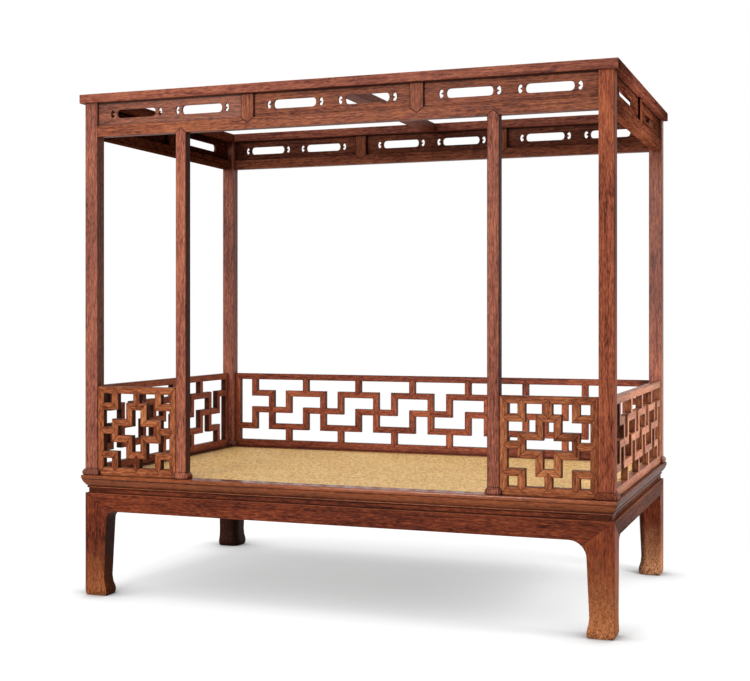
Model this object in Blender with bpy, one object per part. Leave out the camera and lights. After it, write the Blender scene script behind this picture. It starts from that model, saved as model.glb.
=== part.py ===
"""Six-post canopy bed: cane-matted bed frame on hoofed legs, fret railings, openwork frieze and canopy frame.

Metres, +Z up, +X along the bed, the open front towards -Y.
"""

import math

import bmesh
import bpy
from mathutils import Matrix, Vector

# Gap left between two pieces that touch
FIT = 0.0003

# Plan over the outer faces of the corner posts
SPAN_X = 2.140
SPAN_Y = 1.323

# Heights of the seat and of the whole bed
SEAT_TOP = 0.488
TOTAL_HEIGHT = 2.034

# Posts
POST_SIZE = 0.0563
POST_EDGE = 0.0025
DOOR_POST_WIDTH = 0.046
DOOR_POST_PLACE = 0.634
BEAD_HEIGHT = 0.026
BEAD_OUT = 0.0105
DOOR_BEAD_OUT = 0.008
POST_TENON = 0.028
POST_TENON_DEEP = 0.024

# Seat frame: four mitred rails with a moulded edge and a rebate for the mat
SEAT_RAIL_THICK = 0.052
SEAT_RAIL_OUT = 0.012
SEAT_RAIL_WIDTH = 0.092
BAND_HEIGHT = 0.0145
BAND_STEP = 0.0018
CUSHION_HEIGHT = 0.0305
CUSHION_IN = 0.0185
LIP_OUT = 0.0022
LIP_ROUND = 0.002
EDGE_ROUND = 0.003
REBATE_WIDTH = 0.014
REBATE_DEEP = 0.012

# Mat, webbing below it and the bowed braces that carry them
MAT_THICK = 0.004
WEBBING_THICK = 0.006
BRACE_WIDTH = 0.048
BRACE_HEIGHT = 0.026
BRACE_BOW = 0.010
BRACE_SPACING = 0.520
BRACE_TENON_DEEP = 0.020
BRACE_SHOULDER = 0.004

# Waist, apron and legs
WAIST_HEIGHT = 0.021
WAIST_IN = 0.0105
WAIST_THICK = 0.014
APRON_HEIGHT = 0.0717
END_APRON_HEIGHT = 0.060
APRON_THICK = 0.026
LEG_WIDTH = 0.098
FRONT_LEFT_CURVE = 0.036
FRONT_RIGHT_CURVE = 0.064
BACK_CURVE = 0.046
END_CURVE = 0.034
LEG_INNER_ROUND = 0.030
LEG_TAPER = 0.009
HOOF_FLARE = 0.010
HOOF_HEIGHT = 0.075
LEG_TENON = 0.030
LEG_TENON_DEEP = 0.016

# Canopy frame
CANOPY_OUT = 0.0164
CANOPY_THICK = 0.0358
CANOPY_RAIL_WIDTH = 0.078
CROSS_BAR_WIDTH = 0.062
CROSS_TENON_DEEP = 0.022
CROSS_SHOULDER = 0.009

# Frieze below the canopy
FRIEZE_HEIGHT = 0.1365
LOWER_RAIL_HEIGHT = 0.0426
LOWER_RAIL_DEEP = 0.040
LOWER_RAIL_BACK = 0.003
LOWER_TENON_DEEP = 0.018
LOWER_SHOULDER = 0.010
STRUT_WIDTH = 0.053
STRUT_PLACE = 0.344
STRUT_TENON = 0.018
STRUT_TENON_DEEP = 0.010
POINT_HEIGHT = 0.019
PANEL_BACK = 0.012
PANEL_THICK = 0.010
TONGUE = 0.006
SLOT_HEIGHT = 0.035
SLOT_LONG_FRONT = 0.1766
SLOT_LONG_SIDE = 0.339
SET_OFFSET = 0.1475
COMMA_FROM_SLOT = 0.0197
COMMA_WIDTH = 0.0187
COMMA_HEIGHT = 0.033
SLOT_STEPS = 6
COMMA_STEPS = 5

# Railings
RAILING_HEIGHT = 0.361
RAILING_THICK = 0.025
RAILING_BACK = 0.005
STICK = 0.029
FOOT_RAIL = 0.035
BACK_PERIODS = 7
SIDE_PERIODS = 4
TIP_GAP = 0.0004

# Derived places
X_OUT = SPAN_X / 2
Y_OUT = SPAN_Y / 2
X_IN = X_OUT - POST_SIZE
Y_IN = Y_OUT - POST_SIZE
SEAT_BOTTOM = SEAT_TOP - SEAT_RAIL_THICK
WAIST_BOTTOM = SEAT_BOTTOM - WAIST_HEIGHT
CANOPY_BOTTOM = TOTAL_HEIGHT - CANOPY_THICK
FRIEZE_BOTTOM = CANOPY_BOTTOM - FRIEZE_HEIGHT
FRIEZE_RAIL_TOP = FRIEZE_BOTTOM + LOWER_RAIL_HEIGHT
DOOR_POST_DEEP = LOWER_RAIL_DEEP
RAILING_FOOT = SEAT_TOP + FIT

for old in list(bpy.data.objects):
    bpy.data.objects.remove(old, do_unlink=True)

BED = bpy.data.collections.new("canopy_bed")
CUTTERS = bpy.data.collections.new("cutters")
CUTTERS.hide_render = True
bpy.context.scene.collection.children.link(BED)
bpy.context.scene.collection.children.link(CUTTERS)


def look(name, colour, roughness):
    made = bpy.data.materials.new(name)
    made.use_nodes = True
    shader = made.node_tree.nodes["Principled BSDF"]
    shader.inputs["Base Color"].default_value = (*colour, 1.0)
    shader.inputs["Roughness"].default_value = roughness
    shader.inputs["Metallic"].default_value = 0.0
    made.diffuse_color = (*colour, 1.0)
    return made


POST_WOOD = look("post_wood", (0.262, 0.088, 0.049), 0.38)
CANOPY_WOOD = look("canopy_wood", (0.305, 0.107, 0.057), 0.45)
FRIEZE_WOOD = look("frieze_wood", (0.270, 0.090, 0.048), 0.42)
FRET_WOOD = look("fret_wood", (0.376, 0.120, 0.046), 0.40)
SEAT_WOOD = look("seat_wood", (0.255, 0.078, 0.036), 0.28)
LEG_WOOD = look("leg_wood", (0.235, 0.074, 0.036), 0.40)
INNER_WOOD = look("inner_wood", (0.180, 0.085, 0.045), 0.65)
CANE = look("woven_cane", (0.610, 0.402, 0.168), 0.60)
PALM = look("palm_webbing", (0.230, 0.130, 0.060), 0.85)


def finish(work, name):
    bmesh.ops.recalc_face_normals(work, faces=work.faces[:])
    mesh = bpy.data.meshes.new(name)
    work.to_mesh(mesh)
    work.free()
    return mesh


def piece(name, mesh, wood):
    made = bpy.data.objects.new(name, mesh)
    mesh.materials.append(wood)
    BED.objects.link(made)
    return made


def cutter(name, mesh):
    made = bpy.data.objects.new(name, mesh)
    made.display_type = "WIRE"
    made.hide_render = True
    CUTTERS.objects.link(made)
    return made


def combine(target, other, operation):
    step = target.modifiers.new(other.name, "BOOLEAN")
    step.operation = operation
    step.solver = "EXACT"
    step.object = other


def cut(target, name, mesh):
    combine(target, cutter(name, mesh), "DIFFERENCE")


def stack(name, rings):
    """Extrudes the first ring's face through the others, which have the same number of corners."""
    work = bmesh.new()
    face = work.faces.new([work.verts.new(point) for point in rings[0]])
    for number, (last, ring) in enumerate(zip(rings, rings[1:])):
        base = face
        raised = bmesh.ops.extrude_face_region(work, geom=[base])["geom"]
        face = next(item for item in raised if isinstance(item, bmesh.types.BMFace))
        if number and base.is_valid:
            work.faces.remove(base)
        for corner in face.verts:
            nearest = min(range(len(last)), key=lambda i: (Vector(last[i]) - corner.co).length)
            corner.co = ring[nearest]
    return finish(work, name)


def rectangle(u0, u1, v0, v1):
    return [(u0, v0), (u1, v0), (u1, v1), (u0, v1)]


def boxes(name, corners):
    """One mesh of separate boxes, each given as (low corner, high corner)."""
    work = bmesh.new()
    for low, high in corners:
        middle = (Vector(low) + Vector(high)) / 2
        size = Vector(high) - Vector(low)
        place = Matrix.Translation(middle) @ Matrix.Diagonal((*size, 1.0))
        bmesh.ops.create_cube(work, size=1.0, matrix=place)
    return finish(work, name)


def frame_of(origin, across, up):
    """Matrix that takes (u, v, t) to a place in the bed: u along across, v along up, t away from the room."""
    u_way = Vector(across)
    v_way = Vector(up)
    t_way = u_way.cross(v_way)
    place = Matrix((u_way, v_way, t_way)).transposed().to_4x4()
    place.translation = Vector(origin)
    return place


def sheet(name, loops, thick, place):
    """Flat piece from an outline and its holes, filled and extruded to t = 0 .. thick."""
    curve = bpy.data.curves.new(name, "CURVE")
    curve.dimensions = "2D"
    curve.fill_mode = "BOTH"
    curve.extrude = thick / 2
    for loop in loops:
        line = curve.splines.new("POLY")
        line.points.add(len(loop) - 1)
        for point, (u, v) in zip(line.points, loop):
            point.co = (u, v, 0.0, 1.0)
        line.use_cyclic_u = True
    outline = bpy.data.objects.new(name + "_outline", curve)
    CUTTERS.objects.link(outline)
    bpy.context.view_layer.update()
    solid = outline.evaluated_get(bpy.context.evaluated_depsgraph_get())
    work = bmesh.new()
    work.from_mesh(bpy.data.meshes.new_from_object(solid))
    bpy.data.objects.remove(outline, do_unlink=True)
    bmesh.ops.remove_doubles(work, verts=work.verts[:], dist=1e-6)
    bmesh.ops.translate(work, verts=work.verts[:], vec=(0.0, 0.0, thick / 2))
    bmesh.ops.transform(work, matrix=place, verts=work.verts[:])
    return finish(work, name)


# Posts

def square(half_x, half_y, edge, x, y, z):
    """Eight corners of a rectangle with cut edges."""
    flat = [
        (-half_x + edge, -half_y), (half_x - edge, -half_y),
        (half_x, -half_y + edge), (half_x, half_y - edge),
        (half_x - edge, half_y), (-half_x + edge, half_y),
        (-half_x, half_y - edge), (-half_x, -half_y + edge),
    ]
    return [(x + u, y + v, z) for u, v in flat]


# Swelling foot bead, as (share of its height, share of its reach)
BEAD_SHAPE = [(0.0, 0.55), (0.16, 0.90), (0.42, 1.0), (0.70, 0.82), (0.90, 0.40), (1.0, 0.0)]


def post_rings(half_x, half_y, bead_out, x, y, top):
    peg = POST_TENON / 2
    foot = SEAT_TOP + FIT
    rings = [square(peg, peg, 0.001, x, y, SEAT_TOP - POST_TENON_DEEP)]
    rings.append(square(peg, peg, 0.001, x, y, foot))
    for height, reach in BEAD_SHAPE:
        out = bead_out * reach
        z = foot + BEAD_HEIGHT * height
        rings.append(square(half_x + out, half_y + out, POST_EDGE + 0.3 * out, x, y, z))
    rings.append(square(half_x, half_y, POST_EDGE, x, y, top))
    return rings


def corner_post(name, side_x, side_y):
    x = side_x * (X_OUT - POST_SIZE / 2)
    y = side_y * (Y_OUT - POST_SIZE / 2)
    half = POST_SIZE / 2
    peg = POST_TENON / 2
    rings = post_rings(half, half, BEAD_OUT, x, y, CANOPY_BOTTOM - FIT)
    rings.append(square(peg, peg, 0.001, x, y, CANOPY_BOTTOM - FIT))
    rings.append(square(peg, peg, 0.001, x, y, CANOPY_BOTTOM + POST_TENON_DEEP))
    return piece(name, stack(name, rings), POST_WOOD)


DOOR_Y = -(Y_OUT - LOWER_RAIL_BACK - DOOR_POST_DEEP / 2)


def door_post(name, side):
    """Post of the doorway, with a pointed top that stands in a notch of the frieze rail."""
    x = side * DOOR_POST_PLACE
    half_x = DOOR_POST_WIDTH / 2
    half_y = DOOR_POST_DEEP / 2
    rings = post_rings(half_x, half_y, DOOR_BEAD_OUT, x, DOOR_Y, FRIEZE_BOTTOM + POINT_HEIGHT - FIT)
    made = piece(name, stack(name, rings), POST_WOOD)
    low = FRIEZE_BOTTOM - TIP_GAP
    reach = 0.02
    slope = POINT_HEIGHT / half_x
    for way, word in ((-1, "left"), (1, "right")):
        outline = [
            (x, low + POINT_HEIGHT),
            (x + way * (half_x + reach), low - slope * reach),
            (x + way * (half_x + reach), low + POINT_HEIGHT + 0.01),
            (x, low + POINT_HEIGHT + 0.01),
        ]
        place = frame_of((0.0, DOOR_Y + DOOR_POST_DEEP, 0.0), (1, 0, 0), (0, 0, 1))
        slice_name = name + "_slope_" + word
        cut(made, slice_name, sheet(slice_name, [outline], 2 * DOOR_POST_DEEP, place))
    return made


CORNERS = {
    "front_left": (-1, -1),
    "front_right": (1, -1),
    "back_left": (-1, 1),
    "back_right": (1, 1),
}
for word, (sx, sy) in CORNERS.items():
    corner_post("post_" + word, sx, sy)
door_post("post_door_left", -1)
door_post("post_door_right", 1)


# Mitred frames: the seat and the canopy

SIDES = {"front": (0, -1), "back": (0, 1), "left": (-1, 0), "right": (1, 0)}


def mitred(name, profile, side, out_x, out_y):
    """Straight rail with its two ends cut at 45 degrees. The profile holds (distance in from the edge, height)."""
    way_x, way_y = SIDES[side]
    shy = FIT * 0.75
    rings = []
    for end in (-1, 1):
        ring = []
        for inward, z in profile:
            if way_y:
                ring.append((end * (out_x - inward - shy), way_y * (out_y - inward), z))
            else:
                ring.append((way_x * (out_x - inward), end * (out_y - inward - shy), z))
        rings.append(ring)
    return stack(name, rings)


def seat_profile():
    z = SEAT_TOP
    points = [(EDGE_ROUND, z), (EDGE_ROUND * 0.3, z - EDGE_ROUND * 0.3), (0.0, z - EDGE_ROUND)]
    points.append((0.0, z - BAND_HEIGHT + BAND_STEP / 2))
    steps = 6
    for i in range(steps + 1):
        share = i / steps
        points.append((BAND_STEP + CUSHION_IN * share**1.6, z - BAND_HEIGHT - CUSHION_HEIGHT * share))
    lip_top = z - BAND_HEIGHT - CUSHION_HEIGHT
    lip = BAND_STEP + CUSHION_IN - LIP_OUT
    points.append((lip, lip_top - LIP_ROUND))
    points.append((lip, SEAT_BOTTOM + LIP_ROUND))
    points.append((lip + LIP_ROUND, SEAT_BOTTOM))
    points.append((SEAT_RAIL_WIDTH, SEAT_BOTTOM))
    points.append((SEAT_RAIL_WIDTH, z - REBATE_DEEP))
    points.append((SEAT_RAIL_WIDTH - REBATE_WIDTH, z - REBATE_DEEP))
    points.append((SEAT_RAIL_WIDTH - REBATE_WIDTH, z))
    return points


SEAT_X = X_OUT + SEAT_RAIL_OUT
SEAT_Y = Y_OUT + SEAT_RAIL_OUT
seat_rails = {}
for word in SIDES:
    name = "seat_rail_" + word
    seat_rails[word] = piece(name, mitred(name, seat_profile(), word, SEAT_X, SEAT_Y), SEAT_WOOD)

CANOPY_X = X_OUT + CANOPY_OUT
CANOPY_Y = Y_OUT + CANOPY_OUT
CANOPY_EDGE = 0.0015
canopy_profile = [
    (CANOPY_EDGE, TOTAL_HEIGHT),
    (0.0, TOTAL_HEIGHT - CANOPY_EDGE),
    (0.0, CANOPY_BOTTOM + CANOPY_EDGE),
    (CANOPY_EDGE, CANOPY_BOTTOM),
    (CANOPY_RAIL_WIDTH, CANOPY_BOTTOM),
    (CANOPY_RAIL_WIDTH, TOTAL_HEIGHT),
]
canopy_rails = {}
for word in SIDES:
    name = "canopy_rail_" + word
    canopy_rails[word] = piece(name, mitred(name, canopy_profile, word, CANOPY_X, CANOPY_Y), CANOPY_WOOD)


def grown(low, high, by=FIT):
    return [tuple(a - by for a in low), tuple(b + by for b in high)]


def peg_box(x, y, half, z0, z1):
    return grown((x - half, y - half, z0), (x + half, y + half, z1))


# Mortises for the posts and the legs

LEG_MIDDLE_X = X_OUT - (LEG_WIDTH + WAIST_IN) / 2
LEG_MIDDLE_Y = Y_OUT - (LEG_WIDTH + WAIST_IN) / 2
post_peg = POST_TENON / 2
leg_peg = LEG_TENON / 2
post_x = X_OUT - POST_SIZE / 2
post_y = Y_OUT - POST_SIZE / 2
for side, (way_x, way_y) in SIDES.items():
    seat_holes = []
    canopy_holes = []
    for sx, sy in CORNERS.values():
        if (way_x and way_x == sx) or (way_y and way_y == sy):
            seat_holes.append(
                peg_box(sx * post_x, sy * post_y, post_peg, SEAT_TOP - POST_TENON_DEEP, SEAT_TOP + 0.01)
            )
            leg_top = SEAT_BOTTOM + LEG_TENON_DEEP
            seat_holes.append(
                peg_box(sx * LEG_MIDDLE_X, sy * LEG_MIDDLE_Y, leg_peg, SEAT_BOTTOM - 0.01, leg_top)
            )
            canopy_top = CANOPY_BOTTOM + POST_TENON_DEEP
            canopy_holes.append(
                peg_box(sx * post_x, sy * post_y, post_peg, CANOPY_BOTTOM - 0.01, canopy_top)
            )
    if side == "front":
        for sx in (-1, 1):
            seat_holes.append(
                peg_box(sx * DOOR_POST_PLACE, DOOR_Y, post_peg, SEAT_TOP - POST_TENON_DEEP, SEAT_TOP + 0.01)
            )
    cut(seat_rails[side], "mortises_seat_" + side, boxes("mortises_seat_" + side, seat_holes))
    cut(canopy_rails[side], "mortises_canopy_" + side, boxes("mortises_canopy_" + side, canopy_holes))


# Cross bar of the canopy, and the braces below the mat

CANOPY_INNER_Y = CANOPY_Y - CANOPY_RAIL_WIDTH
CANOPY_INNER_X = CANOPY_X - CANOPY_RAIL_WIDTH


def bar_ring(half, z0, z1, x, y):
    return [(x - half, y, z0), (x + half, y, z0), (x + half, y, z1), (x - half, y, z1)]


def canopy_cross_bar():
    half = CROSS_BAR_WIDTH / 2
    z0 = CANOPY_BOTTOM
    z1 = TOTAL_HEIGHT
    end = CANOPY_INNER_Y - FIT
    tip = CANOPY_INNER_Y + CROSS_TENON_DEEP
    inner = (half - CROSS_SHOULDER, z0 + CROSS_SHOULDER, z1 - CROSS_SHOULDER)
    rings = [
        bar_ring(*inner, 0.0, -tip), bar_ring(*inner, 0.0, -end), bar_ring(half, z0, z1, 0.0, -end),
        bar_ring(half, z0, z1, 0.0, end), bar_ring(*inner, 0.0, end), bar_ring(*inner, 0.0, tip),
    ]
    piece("canopy_cross_bar", stack("canopy_cross_bar", rings), CANOPY_WOOD)
    for side, way in (("front", -1), ("back", 1)):
        near = way * (CANOPY_INNER_Y - 0.01)
        far = way * tip
        low = (-inner[0], min(near, far), inner[1])
        high = (inner[0], max(near, far), inner[2])
        name = "mortise_cross_" + side
        cut(canopy_rails[side], name, boxes(name, [grown(low, high)]))


canopy_cross_bar()

SEAT_INNER_X = SEAT_X - SEAT_RAIL_WIDTH
SEAT_INNER_Y = SEAT_Y - SEAT_RAIL_WIDTH
BRACE_TOP = SEAT_TOP - REBATE_DEEP - 0.004
brace_holes = {"front": [], "back": []}


def brace(name, x):
    half = BRACE_WIDTH / 2
    end = SEAT_INNER_Y - FIT
    tip = SEAT_INNER_Y + BRACE_TENON_DEEP
    z1 = BRACE_TOP
    z0 = z1 - BRACE_HEIGHT
    inner = (half - BRACE_SHOULDER, z0 + BRACE_SHOULDER, z1 - BRACE_SHOULDER)
    rings = [bar_ring(*inner, x, -tip), bar_ring(*inner, x, -end)]
    steps = 6
    for i in range(steps + 1):
        share = 2 * i / steps - 1
        drop = BRACE_BOW * (1 - share * share)
        rings.append(bar_ring(half, z0 - drop, z1 - drop, x, share * end))
    rings.append(bar_ring(*inner, x, end))
    rings.append(bar_ring(*inner, x, tip))
    piece(name, stack(name, rings), INNER_WOOD)
    for side, way in (("front", -1), ("back", 1)):
        near = way * (SEAT_INNER_Y - 0.01)
        far = way * tip
        low = (x - inner[0], min(near, far), inner[1])
        high = (x + inner[0], max(near, far), inner[2])
        brace_holes[side].append(grown(low, high))


for word, x in (("left", -BRACE_SPACING), ("middle", 0.0), ("right", BRACE_SPACING)):
    brace("mat_brace_" + word, x)
for side, holes in brace_holes.items():
    name = "mortises_brace_" + side
    cut(seat_rails[side], name, boxes(name, holes))

mat_x = SEAT_INNER_X + REBATE_WIDTH - FIT
mat_y = SEAT_INNER_Y + REBATE_WIDTH - FIT
webbing_bottom = SEAT_TOP - REBATE_DEEP + FIT
mat_bottom = webbing_bottom + WEBBING_THICK + FIT
piece(
    "palm_webbing",
    boxes("palm_webbing", [((-mat_x, -mat_y, webbing_bottom), (mat_x, mat_y, webbing_bottom + WEBBING_THICK))]),
    PALM,
)
piece(
    "cane_mat",
    boxes("cane_mat", [((-mat_x, -mat_y, mat_bottom), (mat_x, mat_y, mat_bottom + MAT_THICK))]),
    CANE,
)


# Aprons with the waist above them, and the legs they are mitred to

CURVE_STEPS = 4
# Share of the eighth turn that the curve takes on the leg, which runs on a little past the mitre
LEG_STEPS = (0.0, 0.25, 0.5, 0.75, 1.18)
# Sections of a leg lie at least this far apart
LEAST_STEP = 0.002


# The photo's front legs differ in the curve that joins them to the apron
FRONT_CURVES = {"front_left": FRONT_LEFT_CURVE, "front_right": FRONT_RIGHT_CURVE}


def curve_of(side, corner):
    """Radius of the curve below an apron's end, and the height at which it springs from the leg."""
    if side in ("left", "right"):
        return END_CURVE, WAIST_BOTTOM - END_APRON_HEIGHT - END_CURVE
    curve = FRONT_CURVES.get(corner, BACK_CURVE)
    return curve, WAIST_BOTTOM - APRON_HEIGHT - curve


def curve_point(side, corner, half, angle):
    """Point of the curve from the leg's inner edge (angle 0) to the apron's lower edge, in the apron's front view."""
    curve, spring = curve_of(side, corner)
    return half - LEG_WIDTH - curve * (1 - math.cos(angle)), spring + curve * math.sin(angle)


def corner_at(side, way):
    """Name of the corner at one end of a side."""
    across = APRONS[side][1]
    for word, (sx, sy) in CORNERS.items():
        if side in word.split("_") and sx * across[0] + sy * across[1] == way:
            return word


def apron_outline(side, half):
    """Front view of an apron. Its ends slope from the leg's outer top corner to the middle of the inner curve."""
    ends = {}
    for way in (1, -1):
        ends[way] = [(way * half, WAIST_BOTTOM)]
        for i in range(CURVE_STEPS + 1):
            angle = math.pi / 4 * (1 + i / CURVE_STEPS)
            u, v = curve_point(side, corner_at(side, way), half, angle)
            ends[way].append((way * u, v))
    return ends[1] + ends[-1][::-1]


def apron_room(side, corner, half):
    """Front view of the space that an apron takes up in the leg at one end."""
    top = Vector((half, WAIST_BOTTOM))
    low = Vector(curve_point(side, corner, half, math.pi / 4))
    run = (top - low).normalized()
    shift = Vector((run.y, -run.x)) * FIT
    end = low + shift - run * 0.01
    left = half - LEG_WIDTH - 0.08
    roof = WAIST_BOTTOM + (FIT if side in ("front", "back") else 2 * FIT)
    crossing = top + shift + run * ((roof - top.y - shift.y) / run.y)
    return [tuple(crossing), tuple(end), (left, end.y), (left, roof)]


APRONS = {
    "front": ((0.0, -Y_OUT + APRON_THICK, 0.0), (1, 0, 0), X_OUT),
    "back": ((0.0, Y_OUT - APRON_THICK, 0.0), (-1, 0, 0), X_OUT),
    "left": ((-X_OUT + APRON_THICK, 0.0, 0.0), (0, -1, 0), Y_OUT),
    "right": ((X_OUT - APRON_THICK, 0.0, 0.0), (0, 1, 0), Y_OUT),
}


def apron(side):
    origin, across, half = APRONS[side]
    name = "apron_" + side
    place = frame_of(origin, across, (0, 0, 1))
    outward = place.to_3x3() @ Vector((0.0, 0.0, 1.0))
    work = bmesh.new()
    work.from_mesh(sheet(name + "_board", [apron_outline(side, half)], APRON_THICK, place))
    for way in (-1, 1):
        # Upright mitre with the apron round the corner
        along = Vector(across) * way
        bmesh.ops.bisect_plane(
            work,
            geom=work.verts[:] + work.edges[:] + work.faces[:],
            plane_co=place @ Vector((way * (half - FIT), 0.0, APRON_THICK)),
            plane_no=(along - outward).normalized(),
            clear_outer=True,
        )
        bmesh.ops.holes_fill(work, edges=[edge for edge in work.edges if edge.is_boundary])
    made = piece(name, finish(work, name), LEG_WOOD)
    reach = half - LEG_WIDTH - FIT
    face = APRON_THICK - WAIST_IN
    strip = sheet(
        name + "_waist",
        [rectangle(-reach, reach, WAIST_BOTTOM - 0.01, SEAT_BOTTOM - FIT)],
        WAIST_THICK,
        place @ Matrix.Translation((0.0, 0.0, face - WAIST_THICK)),
    )
    combine(made, cutter(name + "_waist", strip), "UNION")


def leg_width(side, corner, z):
    """Width of a leg along a side: it tapers down to the ankle and swells into the curve below the apron."""
    curve, spring = curve_of(side, corner)
    rise = z - spring
    if rise < 0:
        return LEG_WIDTH - LEG_TAPER * min(1.0, -rise / (spring - HOOF_HEIGHT))
    rise = min(rise, curve * math.sin(math.pi / 4 * LEG_STEPS[-1]))
    return LEG_WIDTH + curve - math.sqrt(curve * curve - rise * rise)


def leg_ring(sx, sy, z, inset, width_x, width_y, rounding=LEG_INNER_ROUND):
    """Section of a leg: inset from the bed's outer faces, with a rounded inner corner."""
    edge = 0.003
    flat = [(inset + edge, inset), (width_x, inset)]
    for i in range(5):
        angle = math.pi / 8 * i
        flat.append((width_x - rounding * (1 - math.cos(angle)), width_y - rounding * (1 - math.sin(angle))))
    flat += [(inset, width_y), (inset, inset + edge)]
    return [(sx * (X_OUT - a), sy * (Y_OUT - b), z) for a, b in flat]


def leg(word, sx, sy):
    name = "leg_" + word
    sides = ("front" if sy < 0 else "back", "left" if sx < 0 else "right")
    ankle = LEG_WIDTH - LEG_TAPER
    toe = ankle + HOOF_FLARE
    rings = []
    for z, inset, width in (
        (0.0, 0.005, toe - 0.005),
        (0.008, 0.0012, toe - 0.001),
        (0.020, 0.0, toe),
        (HOOF_HEIGHT * 0.42, 0.0, ankle + HOOF_FLARE * 0.78),
        (HOOF_HEIGHT * 0.64, 0.0, ankle + HOOF_FLARE * 0.28),
        (HOOF_HEIGHT, 0.0, ankle),
    ):
        rings.append(leg_ring(sx, sy, z, inset, width, width))
    steps = []
    for side in sides:
        curve, spring = curve_of(side, word)
        steps += [spring + curve * math.sin(math.pi / 4 * share) for share in LEG_STEPS]
    heights = []
    for z in sorted(steps):
        if not heights or z - heights[-1] > LEAST_STEP:
            heights.append(z)
    for z in heights + [WAIST_BOTTOM]:
        rings.append(leg_ring(sx, sy, z, 0.0, *(leg_width(side, word, z) for side in sides)))
    rings.append(leg_ring(sx, sy, WAIST_BOTTOM, WAIST_IN, LEG_WIDTH, LEG_WIDTH))
    rings.append(leg_ring(sx, sy, SEAT_BOTTOM - FIT, WAIST_IN, LEG_WIDTH, LEG_WIDTH))
    peg_in = (LEG_WIDTH + WAIST_IN - LEG_TENON) / 2
    peg_far = peg_in + LEG_TENON
    rings.append(leg_ring(sx, sy, SEAT_BOTTOM - FIT, peg_in, peg_far, peg_far, 0.004))
    rings.append(leg_ring(sx, sy, SEAT_BOTTOM + LEG_TENON_DEEP, peg_in, peg_far, peg_far, 0.004))
    made = piece(name, stack(name, rings), LEG_WOOD)
    for side in sides:
        origin, across, half = APRONS[side]
        place = frame_of(origin, across, (0, 0, 1))
        end = sx if side in ("front", "back") else sy
        way = end * (across[0] + across[1])
        outline = [(way * u, v) for u, v in apron_room(side, word, half)]
        room = name + "_room_" + side
        solid = sheet(room, [outline], APRON_THICK + FIT + 0.01, place @ Matrix.Translation((0.0, 0.0, -FIT)))
        cut(made, room, solid)


for side in APRONS:
    apron(side)
for word, (sx, sy) in CORNERS.items():
    leg(word, sx, sy)


# Frieze: lower rails, struts and pierced panels

def side_frame(side, back, thick):
    """Matrix of an upright plane: u along the side, v up, t from the inner face to the outer one."""
    way_x, way_y = SIDES[side]
    if way_y:
        return frame_of((0.0, way_y * (Y_OUT - back - thick), 0.0), (-way_y, 0, 0), (0, 0, 1))
    return frame_of((way_x * (X_OUT - back - thick), 0.0, 0.0), (0, way_x, 0), (0, 0, 1))


def struts_of(side):
    return (-STRUT_PLACE, STRUT_PLACE) if side in ("front", "back") else (0.0,)


def span_of(side):
    return X_IN if side in ("front", "back") else Y_IN


def lower_rail(side):
    name = "frieze_rail_" + side
    place = side_frame(side, LOWER_RAIL_BACK, LOWER_RAIL_DEEP)
    reach = span_of(side)
    v0 = FRIEZE_BOTTOM
    v1 = FRIEZE_RAIL_TOP
    low = LOWER_SHOULDER
    end = reach - FIT
    tip = reach + LOWER_TENON_DEEP
    peg = (v0 + low, v1 - low, low, LOWER_RAIL_DEEP - low)
    full = (v0, v1, 0.0, LOWER_RAIL_DEEP)

    def ring(u, sizes):
        a, b, c, d = sizes
        return [tuple(place @ Vector((u, v, t))) for v, t in ((a, c), (b, c), (b, d), (a, d))]

    rings = [
        ring(-tip, peg), ring(-end, peg), ring(-end, full),
        ring(end, full), ring(end, peg), ring(tip, peg),
    ]
    made = piece(name, stack(name, rings), FRIEZE_WOOD)
    groove_t = LOWER_RAIL_BACK + LOWER_RAIL_DEEP - PANEL_BACK
    groove = sheet(
        name + "_groove",
        [rectangle(-reach - 0.01, reach + 0.01, v1 - TONGUE - FIT, v1 + 0.01)],
        PANEL_THICK + 2 * FIT,
        place @ Matrix.Translation((0.0, 0.0, groove_t - PANEL_THICK - FIT)),
    )
    cut(made, name + "_groove", groove)
    deeper = place @ Matrix.Translation((0.0, 0.0, -0.01))
    half = STRUT_WIDTH / 2
    for i, u in enumerate(struts_of(side)):
        notch = [(u - half, v1), (u, v1 - POINT_HEIGHT), (u + half, v1), (u + half, v1 + 0.01), (u - half, v1 + 0.01)]
        room = f"{name}_notch_{i}"
        cut(made, room, sheet(room, [notch], LOWER_RAIL_DEEP + 0.02, deeper))
    if side == "front":
        half = DOOR_POST_WIDTH / 2
        for i, u in enumerate((-DOOR_POST_PLACE, DOOR_POST_PLACE)):
            notch = [(u - half, v0), (u - half, v0 - 0.01), (u + half, v0 - 0.01), (u + half, v0), (u, v0 + POINT_HEIGHT)]
            room = f"{name}_door_notch_{i}"
            cut(made, room, sheet(room, [notch], LOWER_RAIL_DEEP + 0.02, deeper))
    # Mortises in the corner posts for this rail's tenons
    for u_way in (-1, 1):
        middle = place @ Vector((u_way * reach, 0.0, 0.0))
        sx = 1 if middle.x > 0 else -1
        sy = 1 if middle.y > 0 else -1
        word = next(key for key, value in CORNERS.items() if value == (sx, sy))
        hole_name = f"{name}_mortise_{word}"
        near = u_way * (reach - 0.01)
        far = u_way * (tip + FIT)
        hole = sheet(
            hole_name,
            [rectangle(min(near, far), max(near, far), peg[0] - FIT, peg[1] + FIT)],
            peg[3] - peg[2] + 2 * FIT,
            place @ Matrix.Translation((0.0, 0.0, peg[2] - FIT)),
        )
        cut(bpy.data.objects["post_" + word], hole_name, hole)


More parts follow.
